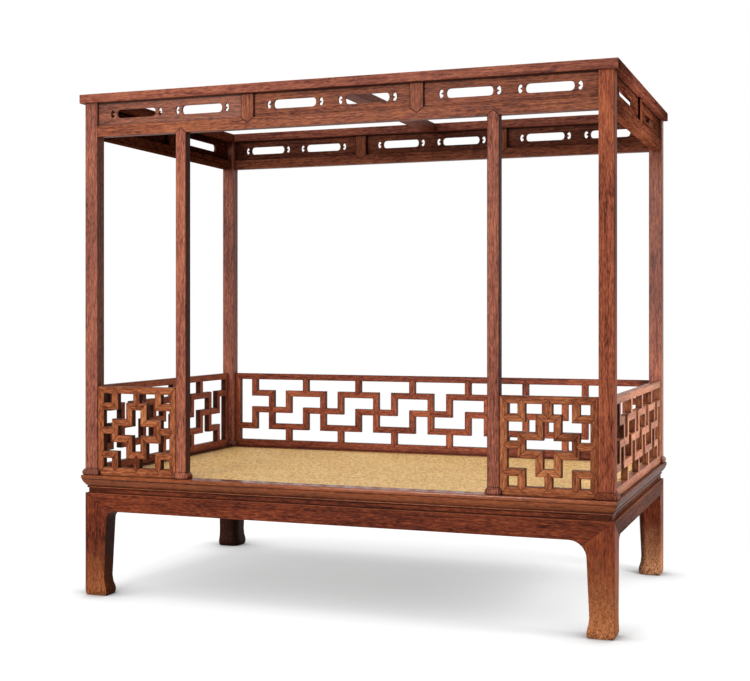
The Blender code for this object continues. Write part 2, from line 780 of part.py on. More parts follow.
def strut(side, number, u):
    name = f"frieze_strut_{side}_{number}"
    place = side_frame(side, LOWER_RAIL_BACK, LOWER_RAIL_DEEP)
    half = STRUT_WIDTH / 2
    peg = STRUT_TENON / 2
    top = CANOPY_BOTTOM - FIT
    low = FRIEZE_RAIL_TOP + TIP_GAP
    outline = [
        (u - half, low), (u, low - POINT_HEIGHT), (u + half, low), (u + half, top),
        (u + peg, top), (u + peg, CANOPY_BOTTOM + STRUT_TENON_DEEP),
        (u - peg, CANOPY_BOTTOM + STRUT_TENON_DEEP), (u - peg, top), (u - half, top),
    ]
    piece(name, sheet(name, [outline], LOWER_RAIL_DEEP, place), FRIEZE_WOOD)
    room = name + "_mortise"
    hole = sheet(
        room,
        [rectangle(u - peg - FIT, u + peg + FIT, CANOPY_BOTTOM - 0.01, CANOPY_BOTTOM + STRUT_TENON_DEEP + FIT)],
        LOWER_RAIL_DEEP + 2 * FIT,
        place @ Matrix.Translation((0.0, 0.0, -FIT)),
    )
    cut(canopy_rails[side], room, hole)


def slot(u, v, long):
    """Long opening with blunt pointed ends."""
    half = long / 2
    high = SLOT_HEIGHT / 2
    points = []
    for way in (1, -1):
        for i in range(SLOT_STEPS + 1):
            angle = math.pi * (i / SLOT_STEPS - 0.5)
            run = 0.86 * high * math.cos(angle) ** 0.8 if 0 < i < SLOT_STEPS else 0.0
            points.append((u + way * (half - 0.86 * high + run), v + way * high * math.sin(angle)))
    return points


def comma(u, v, way):
    """Small bean-shaped opening. A cusp of wood points into it from the slot's side."""
    wide = COMMA_WIDTH / 2
    high = COMMA_HEIGHT / 2
    points = []
    for i in range(COMMA_STEPS + 1):
        angle = math.pi * (i / COMMA_STEPS - 0.5)
        points.append((u + way * wide * math.cos(angle), v + high * math.sin(angle)))
    points.append((u - way * wide * 0.80, v + high * 0.66))
    points.append((u - way * wide * 0.80, v + high * 0.34))
    points.append((u + way * wide * 0.10, v))
    points.append((u - way * wide * 0.80, v - high * 0.34))
    points.append((u - way * wide * 0.80, v - high * 0.66))
    return points


def frieze_panel(side, number, u0, u1):
    name = f"frieze_panel_{side}_{number}"
    place = side_frame(side, PANEL_BACK, PANEL_THICK)
    v0 = FRIEZE_RAIL_TOP - TONGUE + FIT
    v1 = CANOPY_BOTTOM + TONGUE - FIT
    middle = (u0 + u1) / 2
    v = (FRIEZE_RAIL_TOP + CANOPY_BOTTOM) / 2
    if side in ("front", "back"):
        long = SLOT_LONG_FRONT
        sets = (middle - SET_OFFSET, middle + SET_OFFSET)
    else:
        long = SLOT_LONG_SIDE
        sets = (middle,)
    loops = [rectangle(u0 + FIT, u1 - FIT, v0, v1)]
    for u in sets:
        loops.append(slot(u, v, long))
        for way in (-1, 1):
            loops.append(comma(u + way * (long / 2 + COMMA_FROM_SLOT), v, way))
    piece(name, sheet(name, loops, PANEL_THICK, place), FRIEZE_WOOD)


def frieze(side):
    lower_rail(side)
    reach = span_of(side)
    half = STRUT_WIDTH / 2
    edges = [-reach]
    for number, u in enumerate(struts_of(side), 1):
        strut(side, number, u)
        edges += [u - half, u + half]
    edges.append(reach)
    for number in range(len(edges) // 2):
        frieze_panel(side, number + 1, edges[2 * number], edges[2 * number + 1])
    groove_name = "canopy_groove_" + side
    groove = sheet(
        groove_name,
        [rectangle(-reach - 0.004, reach + 0.004, CANOPY_BOTTOM - 0.01, CANOPY_BOTTOM + TONGUE)],
        PANEL_THICK + 2 * FIT,
        side_frame(side, PANEL_BACK, PANEL_THICK) @ Matrix.Translation((0.0, 0.0, -FIT)),
    )
    cut(canopy_rails[side], groove_name, groove)


for side in SIDES:
    frieze(side)


# Railings: a mitred frame and the fretwork pegged into it with pointed ends

def fretwork(name, sticks, tips, place, wood):
    """One solid from crossing sticks (u0, u1, v0, v1) and the pointed ends (left base, right base, point)."""
    us = sorted({round(u, 6) for stick in sticks for u in stick[:2]})
    vs = sorted({round(v, 6) for stick in sticks for v in stick[2:]})
    work = bmesh.new()
    corners = {}

    def corner(u, v):
        key = (round(u, 6), round(v, 6))
        if key not in corners:
            corners[key] = work.verts.new((u, v, 0.0))
        return corners[key]

    for u0, u1 in zip(us, us[1:]):
        for v0, v1 in zip(vs, vs[1:]):
            u = (u0 + u1) / 2
            v = (v0 + v1) / 2
            if any(s[0] < u < s[1] and s[2] < v < s[3] for s in sticks):
                work.faces.new([corner(a, b) for a, b in rectangle(u0, u1, v0, v1)])
    for base_a, base_b, point in tips:
        work.faces.new([corner(*base_a), corner(*base_b), corner(*point)])
    bmesh.ops.recalc_face_normals(work, faces=work.faces[:])
    bmesh.ops.dissolve_limit(work, angle_limit=0.01, verts=work.verts[:], edges=work.edges[:])
    raised = bmesh.ops.extrude_face_region(work, geom=work.faces[:])["geom"]
    top = [item for item in raised if isinstance(item, bmesh.types.BMVert)]
    bmesh.ops.translate(work, verts=top, vec=(0.0, 0.0, RAILING_THICK))
    bmesh.ops.transform(work, matrix=place, verts=work.verts[:])
    return piece(name, finish(work, name), wood)


def outer_frame(width, left_bead, right_bead):
    """Outline of a railing, notched at the foot for the beads of the posts at its ends."""
    a = left_bead + FIT
    b = width - right_bead - FIT
    high = BEAD_HEIGHT + FIT
    return [
        (a, 0.0), (b, 0.0), (b, high), (width, high),
        (width, RAILING_HEIGHT), (0.0, RAILING_HEIGHT), (0.0, high), (a, high),
    ]


def running_railing(word, side, periods):
    width = 2 * span_of(side) - 2 * FIT
    place = side_frame(side, RAILING_BACK, RAILING_THICK)
    way_x, way_y = SIDES[side]
    # The pattern runs along +X at the back and from front to back at the sides
    flip = -1.0 if way_y > 0 or way_x < 0 else 1.0
    turn = Matrix.Diagonal((flip, 1.0, 1.0, 1.0))
    place = place @ turn @ Matrix.Translation((-width / 2, RAILING_FOOT, 0.0))
    s = STICK
    gap_u = (width - (3 * periods + 2) * s) / (3 * periods + 1)
    gap_v = (RAILING_HEIGHT - FOOT_RAIL - 4 * s) / 4
    step = s + gap_u
    r3 = FOOT_RAIL + gap_v
    r2 = r3 + s + gap_v
    r1 = r2 + s + gap_v
    top = RAILING_HEIGHT - s
    low = FOOT_RAIL
    left = s
    right = width - s
    g = TIP_GAP

    def a(k):
        return (3 * k - 2) * step

    def b(k):
        return (3 * k - 1) * step

    def c(k):
        return 3 * k * step

    n = periods
    sticks = []
    tips = []
    above = []
    below = []
    for k in range(1, n + 1):
        sticks.append((b(k), b(k) + s, r3, r1 + s))
        sticks.append((a(k), c(k) + s, r2, r2 + s))
        sticks.append((a(k), a(k) + s, r1, top - g))
        sticks.append((a(k), a(k) + s, r3, r2 + s))
        sticks.append((c(k), c(k) + s, r2, r1 + s))
        sticks.append((c(k), c(k) + s, low + g, r3 + s))
        sticks.append((c(k - 1) if k > 1 else a(1), b(k) + s, r1, r1 + s))
        sticks.append((b(k), a(k + 1) + s if k < n else c(n) + s, r3, r3 + s))
        tips.append(((a(k), top - g), (a(k) + s, top - g), (a(k) + s / 2, top - g + s / 2)))
        tips.append(((c(k) + s, low + g), (c(k), low + g), (c(k) + s / 2, low + g - s / 2)))
        above.append([(a(k) + s, top), (a(k) + s / 2, top + s / 2), (a(k), top)])
        below.append([(c(k), low), (c(k) + s / 2, low - s / 2), (c(k) + s, low)])
    sticks.append((left + g, a(1) + s, r3, r3 + s))
    sticks.append((c(n), right - g, r1, r1 + s))
    tips.append(((left + g, r3 + s), (left + g, r3), (left + g - s / 2, r3 + s / 2)))
    tips.append(((right - g, r1), (right - g, r1 + s), (right - g + s / 2, r1 + s / 2)))
    inner = [(left, low)]
    for notch in below:
        inner += notch
    inner += [(right, low), (right, r1), (right + s / 2, r1 + s / 2), (right, r1 + s), (right, top)]
    for notch in reversed(above):
        inner += notch
    inner += [(left, top), (left, r3 + s), (left - s / 2, r3 + s / 2), (left, r3)]
    frame_name = f"railing_{word}_frame"
    loops = [outer_frame(width, BEAD_OUT, BEAD_OUT), inner]
    piece(frame_name, sheet(frame_name, loops, RAILING_THICK, place), FRET_WOOD)
    fretwork(f"railing_{word}_fret", sticks, tips, place, FRET_WOOD)


def front_railing(word, way):
    """Short railing beside the doorway: corner squares in the frame round a cross-shaped loop."""
    near = DOOR_POST_PLACE + DOOR_POST_WIDTH / 2 + FIT
    width = X_IN - FIT - near
    start = near if way > 0 else -near - width
    place = side_frame("front", RAILING_BACK, RAILING_THICK) @ Matrix.Translation((start, RAILING_FOOT, 0.0))
    s = STICK
    gap_u = (width - 6 * s) / 5
    gap_v = (RAILING_HEIGHT - FOOT_RAIL - 5 * s) / 5
    u = [i * (s + gap_u) for i in range(6)]
    v = [0.0] + [FOOT_RAIL + gap_v + i * (s + gap_v) for i in range(4)] + [RAILING_HEIGHT - s]
    left = s
    right = width - s
    low = FOOT_RAIL
    top = RAILING_HEIGHT - s
    mid_u = width / 2
    mid_v = (low + top) / 2
    h = s / 2
    g = TIP_GAP
    sticks = [
        (u[2], u[3] + s, v[4], v[4] + s), (u[2], u[3] + s, v[1], v[1] + s),
        (u[1], u[1] + s, v[2], v[3] + s), (u[4], u[4] + s, v[2], v[3] + s),
    ]
    for pair in ((1, 2), (3, 4)):
        sticks.append((u[pair[0]], u[pair[1]] + s, v[3], v[3] + s))
        sticks.append((u[pair[0]], u[pair[1]] + s, v[2], v[2] + s))
    for i in (2, 3):
        sticks.append((u[i], u[i] + s, v[3], v[4] + s))
        sticks.append((u[i], u[i] + s, v[1], v[2] + s))
    sticks.append((mid_u - h, mid_u + h, v[4], top - g))
    sticks.append((mid_u - h, mid_u + h, low + g, v[1] + s))
    sticks.append((left + g, u[1] + s, mid_v - h, mid_v + h))
    sticks.append((u[4], right - g, mid_v - h, mid_v + h))
    tips = [
        ((mid_u - h, top - g), (mid_u + h, top - g), (mid_u, top - g + h)),
        ((mid_u + h, low + g), (mid_u - h, low + g), (mid_u, low + g - h)),
        ((left + g, mid_v + h), (left + g, mid_v - h), (left + g - h, mid_v)),
        ((right - g, mid_v - h), (right - g, mid_v + h), (right - g + h, mid_v)),
    ]
    u_a = u[1] + s
    u_b = u[4]
    v_a = v[1] + s
    v_b = v[4]
    inner = [
        (u_a, low), (mid_u - h, low), (mid_u, low - h), (mid_u + h, low), (u_b, low), (u_b, v_a),
        (right, v_a), (right, mid_v - h), (right + h, mid_v), (right, mid_v + h), (right, v_b), (u_b, v_b),
        (u_b, top), (mid_u + h, top), (mid_u, top + h), (mid_u - h, top), (u_a, top), (u_a, v_b),
        (left, v_b), (left, mid_v + h), (left - h, mid_v), (left, mid_v - h), (left, v_a), (u_a, v_a),
    ]
    holes = []
    for u0, u1 in ((left, u[1]), (u[4] + s, right)):
        for v0, v1 in ((low, v[1]), (v[4] + s, top)):
            holes.append(rectangle(u0, u1, v0, v1))
    frame_name = f"railing_{word}_frame"
    beads = (DOOR_BEAD_OUT, BEAD_OUT) if way > 0 else (BEAD_OUT, DOOR_BEAD_OUT)
    loops = [outer_frame(width, *beads), inner] + holes
    piece(frame_name, sheet(frame_name, loops, RAILING_THICK, place), FRET_WOOD)
    fretwork(f"railing_{word}_fret", sticks, tips, place, FRET_WOOD)


running_railing("back", "back", BACK_PERIODS)
running_railing("left", "left", SIDE_PERIODS)
running_railing("right", "right", SIDE_PERIODS)
front_railing("front_left", -1)
front_railing("front_right", 1)
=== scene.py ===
import math
import random

import bpy
import bmesh
from mathutils import Matrix, Vector


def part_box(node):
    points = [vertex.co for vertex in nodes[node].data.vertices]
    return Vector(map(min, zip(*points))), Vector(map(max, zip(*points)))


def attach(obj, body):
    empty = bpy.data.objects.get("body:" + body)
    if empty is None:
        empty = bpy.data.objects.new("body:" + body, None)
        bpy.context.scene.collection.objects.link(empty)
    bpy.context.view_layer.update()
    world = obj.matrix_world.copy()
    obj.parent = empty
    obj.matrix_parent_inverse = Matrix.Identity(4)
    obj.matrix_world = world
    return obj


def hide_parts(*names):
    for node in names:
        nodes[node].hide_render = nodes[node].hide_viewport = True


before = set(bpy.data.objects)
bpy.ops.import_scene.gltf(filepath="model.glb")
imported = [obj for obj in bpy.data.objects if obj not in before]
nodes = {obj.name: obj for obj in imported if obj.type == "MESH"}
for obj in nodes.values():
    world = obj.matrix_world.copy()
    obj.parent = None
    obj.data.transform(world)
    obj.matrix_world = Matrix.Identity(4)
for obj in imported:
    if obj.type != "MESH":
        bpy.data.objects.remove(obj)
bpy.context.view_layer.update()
rng = random.Random(11)
scene = bpy.context.scene

# Sizes of the CAD model that the pieces below take up again, in metres
X_OUT = 1.070
Y_OUT = 0.6615
SEAT_TOP = 0.488
POST = 0.0563
X_IN = X_OUT - POST
Y_IN = Y_OUT - POST
FIT = 0.0003
RAILING_HEIGHT = 0.361
RAILING_THICK = 0.025
RAILING_BACK = 0.005
STICK = 0.029
FOOT_RAIL = 0.035
BEAD_HEIGHT = 0.026
BEAD_OUT = 0.0105
DOOR_BEAD_OUT = 0.008
DOOR_PLACE = 0.634
DOOR_WIDTH = 0.046
POINT_HEIGHT = 0.019


# Short forms for objects, colours and node trees

WHITE = (1.0, 1.0, 1.0, 1.0)


def put_in_scene(name, data):
    made = bpy.data.objects.new(name, data)
    scene.collection.objects.link(made)
    return made


def linear(red, green, blue):
    """Scene colour of an 8-bit screen colour."""
    made = []
    for value in (red, green, blue):
        share = value / 255.0
        made.append(share / 12.92 if share <= 0.04045 else ((share + 0.055) / 1.055) ** 2.4)
    return (*made, 1.0)


class Net:
    """Builds a node tree. A value given to a node is a constant or another node's output."""

    def __init__(self, tree):
        self.tree = tree

    def feed(self, sockets, values):
        for key, value in values.items():
            if isinstance(value, bpy.types.NodeSocket):
                self.tree.links.new(value, sockets[key])
            else:
                sockets[key].default_value = value

    def node(self, kind, values=None, **settings):
        made = self.tree.nodes.new("ShaderNode" + kind)
        for key, value in settings.items():
            setattr(made, key, value)
        self.feed(made.inputs, values or {})
        return made

    def math(self, operation, first, second=0.0, clamp=False):
        values = {0: first, 1: second}
        return self.node("Math", values, operation=operation, use_clamp=clamp).outputs[0]

    def times(self, first, second):
        return self.math("MULTIPLY", first, second)

    def plus(self, base, value, share, clamp=False):
        """Base plus a share of a value."""
        values = {0: value, 1: share, 2: base}
        return self.node("Math", values, operation="MULTIPLY_ADD", use_clamp=clamp).outputs[0]

    def swayed(self, base, noise, share):
        """Base plus a share of how far a noise lies above or below its middle."""
        return self.plus(base, self.math("SUBTRACT", noise, 0.5), share)

    def away(self, value, middle):
        """Distance of a value from a middle."""
        return self.math("ABSOLUTE", self.math("SUBTRACT", value, middle))

    def vector(self, operation, first, second=(0.0, 0.0, 0.0), output="Vector"):
        values = {0: first, 1: second}
        return self.node("VectorMath", values, operation=operation).outputs[output]

    def scaled(self, vector, by):
        return self.vector("MULTIPLY", vector, by)

    def split(self, vector):
        return self.node("SeparateXYZ", {0: vector}).outputs

    def own_place(self):
        """Place in the object's own coordinates."""
        return self.node("TexCoord").outputs["Object"]

    def noise(self, place, scales, detail, roughness):
        """Noise with its own scale for each coordinate."""
        values = {"Scale": 1.0, "Detail": detail, "Roughness": roughness}
        values["Vector"] = self.scaled(place, scales)
        return self.node("TexNoise", values).outputs["Fac"]

    def wandered(self, place, scales, reach):
        """Place moved a little by a slow noise."""
        values = {"Vector": self.scaled(place, scales), "Scale": 1.0, "Detail": 2.0}
        shift = self.node("TexNoise", values).outputs["Color"]
        shift = self.vector("SUBTRACT", shift, (0.5, 0.5, 0.5))
        return self.vector("ADD", place, self.scaled(shift, reach))

    def random(self, number):
        """A random value for each number."""
        return self.node("TexWhiteNoise", {"W": number}, noise_dimensions="1D").outputs["Value"]

    def openness(self, distance, samples):
        """1 where nothing is near, and less in a corner."""
        return self.node("AmbientOcclusion", {"Distance": distance}, samples=samples).outputs["AO"]

    def attribute(self, name, output):
        return self.node("Attribute", attribute_name=name).outputs[output]

    def span(self, value, low, high, to_low=0.0, to_high=1.0):
        values = {"Value": value, "From Min": low, "From Max": high, "To Min": to_low, "To Max": to_high}
        return self.node("MapRange", values).outputs["Result"]

    def mix(self, share, first, second):
        """Colour between two colours."""
        return self.node("Mix", {0: share, 6: first, 7: second}, data_type="RGBA").outputs[2]

    def shaded(self, light, dark, mid, pale):
        """Colour from dark at 0 through mid at one half to pale at 1."""
        low = self.mix(self.span(light, 0.0, 0.5), dark, mid)
        return self.mix(self.span(light, 0.5, 1.0), low, pale)

    def choose(self, later, first, second):
        """The first of two numbers or, where later is 1, the second."""
        return self.node("Mix", {0: later, 2: first, 3: second}, data_type="FLOAT").outputs[0]


def new_material(name):
    """Material, the net of its nodes and the inputs of its shader."""
    made = bpy.data.materials.new(name)
    made.use_nodes = True
    return made, Net(made.node_tree), made.node_tree.nodes["Principled BSDF"].inputs


# Camera, lights, background and floor

CAMERA_PLACE = (1.8204, -5.2766, 1.1387)
CAMERA_TURN = 0.366
# Name, place, point that it shines at, width and height, watts, and spread in degrees
LIGHTS = (
    ("key_light", (-1.2, -6.2, 2.1), (0.0, 0.0, 1.0), (1.6, 0.8), 290.0, 180.0),
    ("top_light", (-1.5, -0.4, 5.2), (-0.1, 0.0, 0.5), (4.4, 3.4), 150.0, 180.0),
    ("right_light", (2.6, -0.4, 1.3), (1.07, 0.1, 0.45), (0.7, 0.7), 9.5, 64.0),
    ("frieze_light", (1.95, 0.0, 1.05), (1.07, 0.0, 1.93), (0.9, 0.2), 2.4, 50.0),
)
AMBIENT = 0.065
FLOOR_HALF = 40.0
FLOOR_GREY = (0.34, 0.34, 0.34, 1.0)
FLOOR_LIFT = 0.90
# Shade under the bed and at its feet: reach, openness where it is darkest and where it ends, light left
WIDE_SHADE = (1.2, 0.15, 0.80, 0.52)
CLOSE_SHADE = (0.22, 0.40, 0.98, 0.15)
SHADE_SAMPLES = 16
# The floor fades between these distances from its middle. Distance along x counts for less
FADE_START = 1.6
FADE_END = 3.2
FADE_SHARES = (0.8, 1.0, 0.0)


def studio_camera():
    data = bpy.data.cameras.new("camera")
    data.sensor_width = 36.0
    data.lens = 62.956
    data.shift_x = 0.0438
    data.shift_y = -0.0341
    made = put_in_scene("camera", data)
    made.location = CAMERA_PLACE
    made.rotation_euler = (math.pi / 2, 0.0, CAMERA_TURN)
    scene.camera = made
    scene.view_settings.view_transform = "Standard"


def area_light(name, place, aim, size, watts, spread):
    data = bpy.data.lights.new(name, "AREA")
    data.shape = "RECTANGLE"
    data.size, data.size_y = size
    data.energy = watts
    data.spread = math.radians(spread)
    made = put_in_scene(name, data)
    made.location = place
    made.rotation_euler = (Vector(aim) - Vector(place)).to_track_quat("-Z", "Y").to_euler()


def seen_white(net):
    """1 for rays that show the background: from the camera, from gloss and through glass."""
    path = net.node("LightPath").outputs
    shown = net.math("MAXIMUM", path["Is Camera Ray"], path["Is Glossy Ray"])
    return net.math("MAXIMUM", shown, path["Is Transmission Ray"])


def studio_world():
    world = bpy.data.worlds.new("studio")
    scene.world = world
    world.use_nodes = True
    net = Net(world.node_tree)
    strength = net.span(seen_white(net), 0.0, 1.0, AMBIENT, 1.0)
    net.feed(world.node_tree.nodes["Background"].inputs, {"Color": WHITE, "Strength": strength})


def floor_shade(net, reach, darkest, end, left):
    return net.span(net.openness(reach, SHADE_SAMPLES), darkest, end, left, 1.0)


def floor_material():
    made, net, shader = new_material("floor_pale")
    # Seen directly the floor glows white, with a painted shadow that dims it under the bed and most where a
    # foot stands on it
    shade = net.times(floor_shade(net, *WIDE_SHADE), floor_shade(net, *CLOSE_SHADE))
    lift = net.times(net.times(shade, FLOOR_LIFT), seen_white(net))
    # Some way from the bed it fades out into the background
    far = net.vector("LENGTH", net.scaled(net.own_place(), FADE_SHARES), output="Value")
    net.feed(shader, {
        "Base Color": FLOOR_GREY,
        "Roughness": 1.0,
        "Specular IOR Level": 0.0,
        "Emission Color": WHITE,
        "Emission Strength": lift,
        "Alpha": net.span(far, FADE_START, FADE_END, 1.0, 0.0),
    })
    return made


def studio_floor():
    work = bmesh.new()
    bmesh.ops.create_grid(work, x_segments=1, y_segments=1, size=FLOOR_HALF)
    mesh = bpy.data.meshes.new("floor")
    work.to_mesh(mesh)
    work.free()
    made = put_in_scene("floor", mesh)
    mesh.materials.append(floor_material())


studio_camera()
for light in LIGHTS:
    area_light(*light)
studio_world()
studio_floor()


# Wood

# Dark, middle and light tone of each wood, as 8-bit screen colours
SHADES = {
    "post": ((70, 30, 24), (144, 81, 64), (194, 117, 86)),
    "warm_post": ((72, 29, 19), (152, 79, 55), (200, 113, 75)),
    "canopy": ((78, 34, 28), (138, 75, 58), (182, 110, 82)),
    "frieze": ((76, 34, 24), (145, 81, 57), (188, 113, 73)),
    "fret": ((90, 40, 23), (164, 92, 58), (212, 136, 86)),
    # Darker railing wood for the back and left railings: painted shade
    "fret_painted_shade": ((70, 28, 19), (136, 68, 48), (182, 104, 70)),
    "fret_end": ((74, 36, 24), (156, 91, 61), (204, 134, 91)),
    "seat": ((62, 24, 14), (128, 60, 34), (176, 94, 54)),
    "leg": ((56, 22, 14), (117, 53, 33), (162, 84, 49)),
    # A darker wood for pieces that stand in shade: its darkness is painted shade
    "shaded": ((40, 17, 12), (76, 40, 28), (112, 66, 46)),
    "inner": ((70, 40, 26), (120, 74, 48), (150, 98, 66)),
}
# Pale colour of rubbed edges, which also paints highlights along them
RUBBED_AND_HIGHLIGHT = linear(226, 160, 104)
# Dark colour of dirt, which also paints shade into inner corners and creases
DIRT_AND_SHADE = linear(26, 11, 8)
# Colour towards which the railing sticks' edges and sides darken: painted shade and dirt
STICK_SIDE_DIRT_AND_SHADE = linear(32, 11, 6)
JOINT_LINE = linear(30, 12, 9)
FOOT_BROWN = linear(158, 84, 46)
FOOT_PALE = linear(214, 138, 86)
FOOT_BLEACHED = linear(255, 196, 150)
FOOT_DARK = linear(44, 24, 14)
# Coordinates along and across the grain, by the axis that it follows
GRAIN = {"x": (0, 1, 2), "y": (1, 0, 2), "z": (2, 0, 1)}
GROUP_SOCKETS = (
    ("INPUT", "NodeSocketVector", ("Vector",)),
    ("INPUT", "NodeSocketColor", ("Dark", "Mid", "Light")),
    ("INPUT", "NodeSocketFloat", ("Tone", "Gloss", "Round", "Wear_and_highlight", "Dirt_and_shade")),
    ("OUTPUT", "NodeSocketColor", ("Color",)),
    ("OUTPUT", "NodeSocketFloat", ("Roughness",)),
    ("OUTPUT", "NodeSocketVector", ("Normal",)),
)
# How strongly the growth lines, a piece's tone, pores, and dirt with painted shade show in the colour,
# roughness and relief
GROWTH_LINES = 8.0
LINE_LIGHT = -0.26
TONE_LIGHT = 0.22
PORE_DARK = 0.42
RUBBED_AND_HIGHLIGHT_SHARE = 0.45
DIRT_AND_SHADE_REACH = 0.028
MOTTLE_ROUGH = 0.25
PORE_ROUGH = 0.16
DIRT_AND_SHADE_ROUGH = 0.25
PORE_HEIGHT = -0.8
FINE_HEIGHT = 0.5
# Wear of the feet: unevenness of its upper end and of the dark pits in metres, end and fading, strengths
PATCH_REACH = 0.20
PIT_REACH = 0.09
WORN_END = 0.02
WORN_POWER = 1.3
WORN_ROUGH = 0.25
PIT_DARK = 0.5
# Joint lines: distance where they start to show, distance where they are full, and strength
TIP_LINE = (0.0040, 0.0012)
EDGE_LINE = (0.0035, 0.0012)
JOINT_DARK = 0.75


def wood_group():
    """Rosewood: streaks and growth lines along the first coordinate, pores, edges paler with wear and
    painted highlight, and corners darker with dirt and painted shade.
    """
    group = bpy.data.node_groups.new("rosewood", "ShaderNodeTree")
    for way, kind, words in GROUP_SOCKETS:
        for word in words:
            group.interface.new_socket(word, in_out=way, socket_type=kind)
    net = Net(group)
    given = group.nodes.new("NodeGroupInput").outputs
    place = given["Vector"]
    bent = net.wandered(place, (1.6, 5.0, 5.0), (0.0, 0.030, 0.030))

    def figure(source, along, across, detail, roughness):
        return net.noise(source, (along, across, across), detail, roughness)

    streak = figure(bent, 5.0, 150.0, 4.0, 0.65)
    broad = figure(bent, 0.8, 22.0, 2.0, 0.5)
    fine = figure(bent, 40.0, 260.0, 3.0, 0.6)
    cloud = figure(place, 2.2, 8.0, 3.0, 0.55)
    mottle = figure(place, 20.0, 70.0, 4.0, 0.6)
    pore = net.span(figure(place, 26.0, 950.0, 1.0, 0.5), 0.58, 0.72)
    # Growth lines darken slowly and end sharply
    rings = net.math("FRACT", net.times(broad, GROWTH_LINES))
    line = net.times(net.span(rings, 0.70, 0.97), net.span(rings, 1.0, 0.985))
    light = 0.5
    for value, share in ((streak, 0.8), (cloud, 1.0), (mottle, 0.6), (fine, 1.9)):
        light = net.swayed(light, value, share)
    light = net.plus(light, line, LINE_LIGHT)
    light = net.plus(light, given["Tone"], TONE_LIGHT)
    colour = net.shaded(light, given["Dark"], given["Mid"], given["Light"])
    colour = net.mix(net.times(pore, PORE_DARK), colour, given["Dark"])
    # Edges are paler with wear and a painted highlight, and inner corners darker with dirt and painted shade
    rounded = net.node("Bevel", {"Radius": given["Round"]}, samples=4).outputs[0]
    normal = net.node("NewGeometry").outputs["Normal"]
    turn = net.vector("DOT_PRODUCT", rounded, normal, "Value")
    edge = net.times(net.span(turn, 0.995, 0.86), net.span(mottle, 0.32, 0.62))
    dirt = net.span(net.openness(DIRT_AND_SHADE_REACH, 6), 0.86, 0.30)
    rubbed_highlight = net.mix(RUBBED_AND_HIGHLIGHT_SHARE, given["Light"], RUBBED_AND_HIGHLIGHT)
    colour = net.mix(net.times(edge, given["Wear_and_highlight"]), colour, rubbed_highlight)
    colour = net.mix(net.times(dirt, given["Dirt_and_shade"]), colour, DIRT_AND_SHADE)
    rough = net.swayed(given["Gloss"], mottle, MOTTLE_ROUGH)
    rough = net.plus(rough, pore, PORE_ROUGH)
    rough = net.plus(rough, dirt, DIRT_AND_SHADE_ROUGH, clamp=True)
    height = net.plus(net.times(fine, FINE_HEIGHT), pore, PORE_HEIGHT)
    relief = {"Strength": 0.22, "Distance": 0.0006, "Height": height, "Normal": rounded}
    bump = net.node("Bump", relief).outputs[0]
    out = group.nodes.new("NodeGroupOutput").inputs
    net.feed(out, {"Color": colour, "Roughness": rough, "Normal": bump})
    return group


ROSEWOOD = wood_group()


def worn_foot(net, place, shift, share, bleach, top, colour, rough):
    """Colour and roughness with bleached, pitted wood towards the floor."""
    height = net.split(place)[2]
    moved = net.vector("ADD", place, (shift, shift, 0.0))
    patch = net.noise(moved, (26.0, 26.0, 9.0), 4.0, 0.65)
    pit = net.noise(moved, (170.0, 170.0, 110.0), 3.0, 0.65)
    worn = net.span(net.swayed(height, patch, PATCH_REACH), top, WORN_END)
    worn = net.math("POWER", worn, WORN_POWER)
    bright = net.mix(bleach, FOOT_PALE, FOOT_BLEACHED)
    pale = net.mix(net.span(pit, 0.34, 0.62), FOOT_BROWN, bright)
    colour = net.mix(net.times(worn, share), colour, pale)
    low = net.swayed(height, pit, PIT_REACH)
    deep = net.times(net.span(low, 0.030, 0.004), net.span(pit, 0.62, 0.40))
    colour = net.mix(net.times(deep, PIT_DARK), colour, FOOT_DARK)
    return colour, net.plus(rough, worn, WORN_ROUGH, clamp=True)


def with_lines(net, parts, lines, colour):
    """Colour with level lines on it, each given as height, half width, strength and colour."""
    for height, half, strength, shown in lines:
        drawn = net.span(net.away(parts[2], height), half, half / 2)
        colour = net.mix(net.times(drawn, strength), colour, linear(*shown))
    return colour


def with_points(net, parts, points, colour):
    """Colour with the dark joint line round a piece's pointed end and along its two edges."""
    for axis, middle, half, apex, slope in points:
        beside = net.away(parts[axis], middle)
        past = net.math("SUBTRACT", parts[2], net.plus(apex, beside, slope))
        tip = net.span(net.math("ABSOLUTE", past), *TIP_LINE)
        tip = net.times(tip, net.math("LESS_THAN", beside, half))
        outer = net.span(net.away(beside, half), *EDGE_LINE)
        behind = net.math("GREATER_THAN", net.times(past, slope), 0.0)
        drawn = net.math("MAXIMUM", tip, net.times(outer, behind))
        colour = net.mix(net.times(drawn, JOINT_DARK), colour, JOINT_LINE)
    return colour


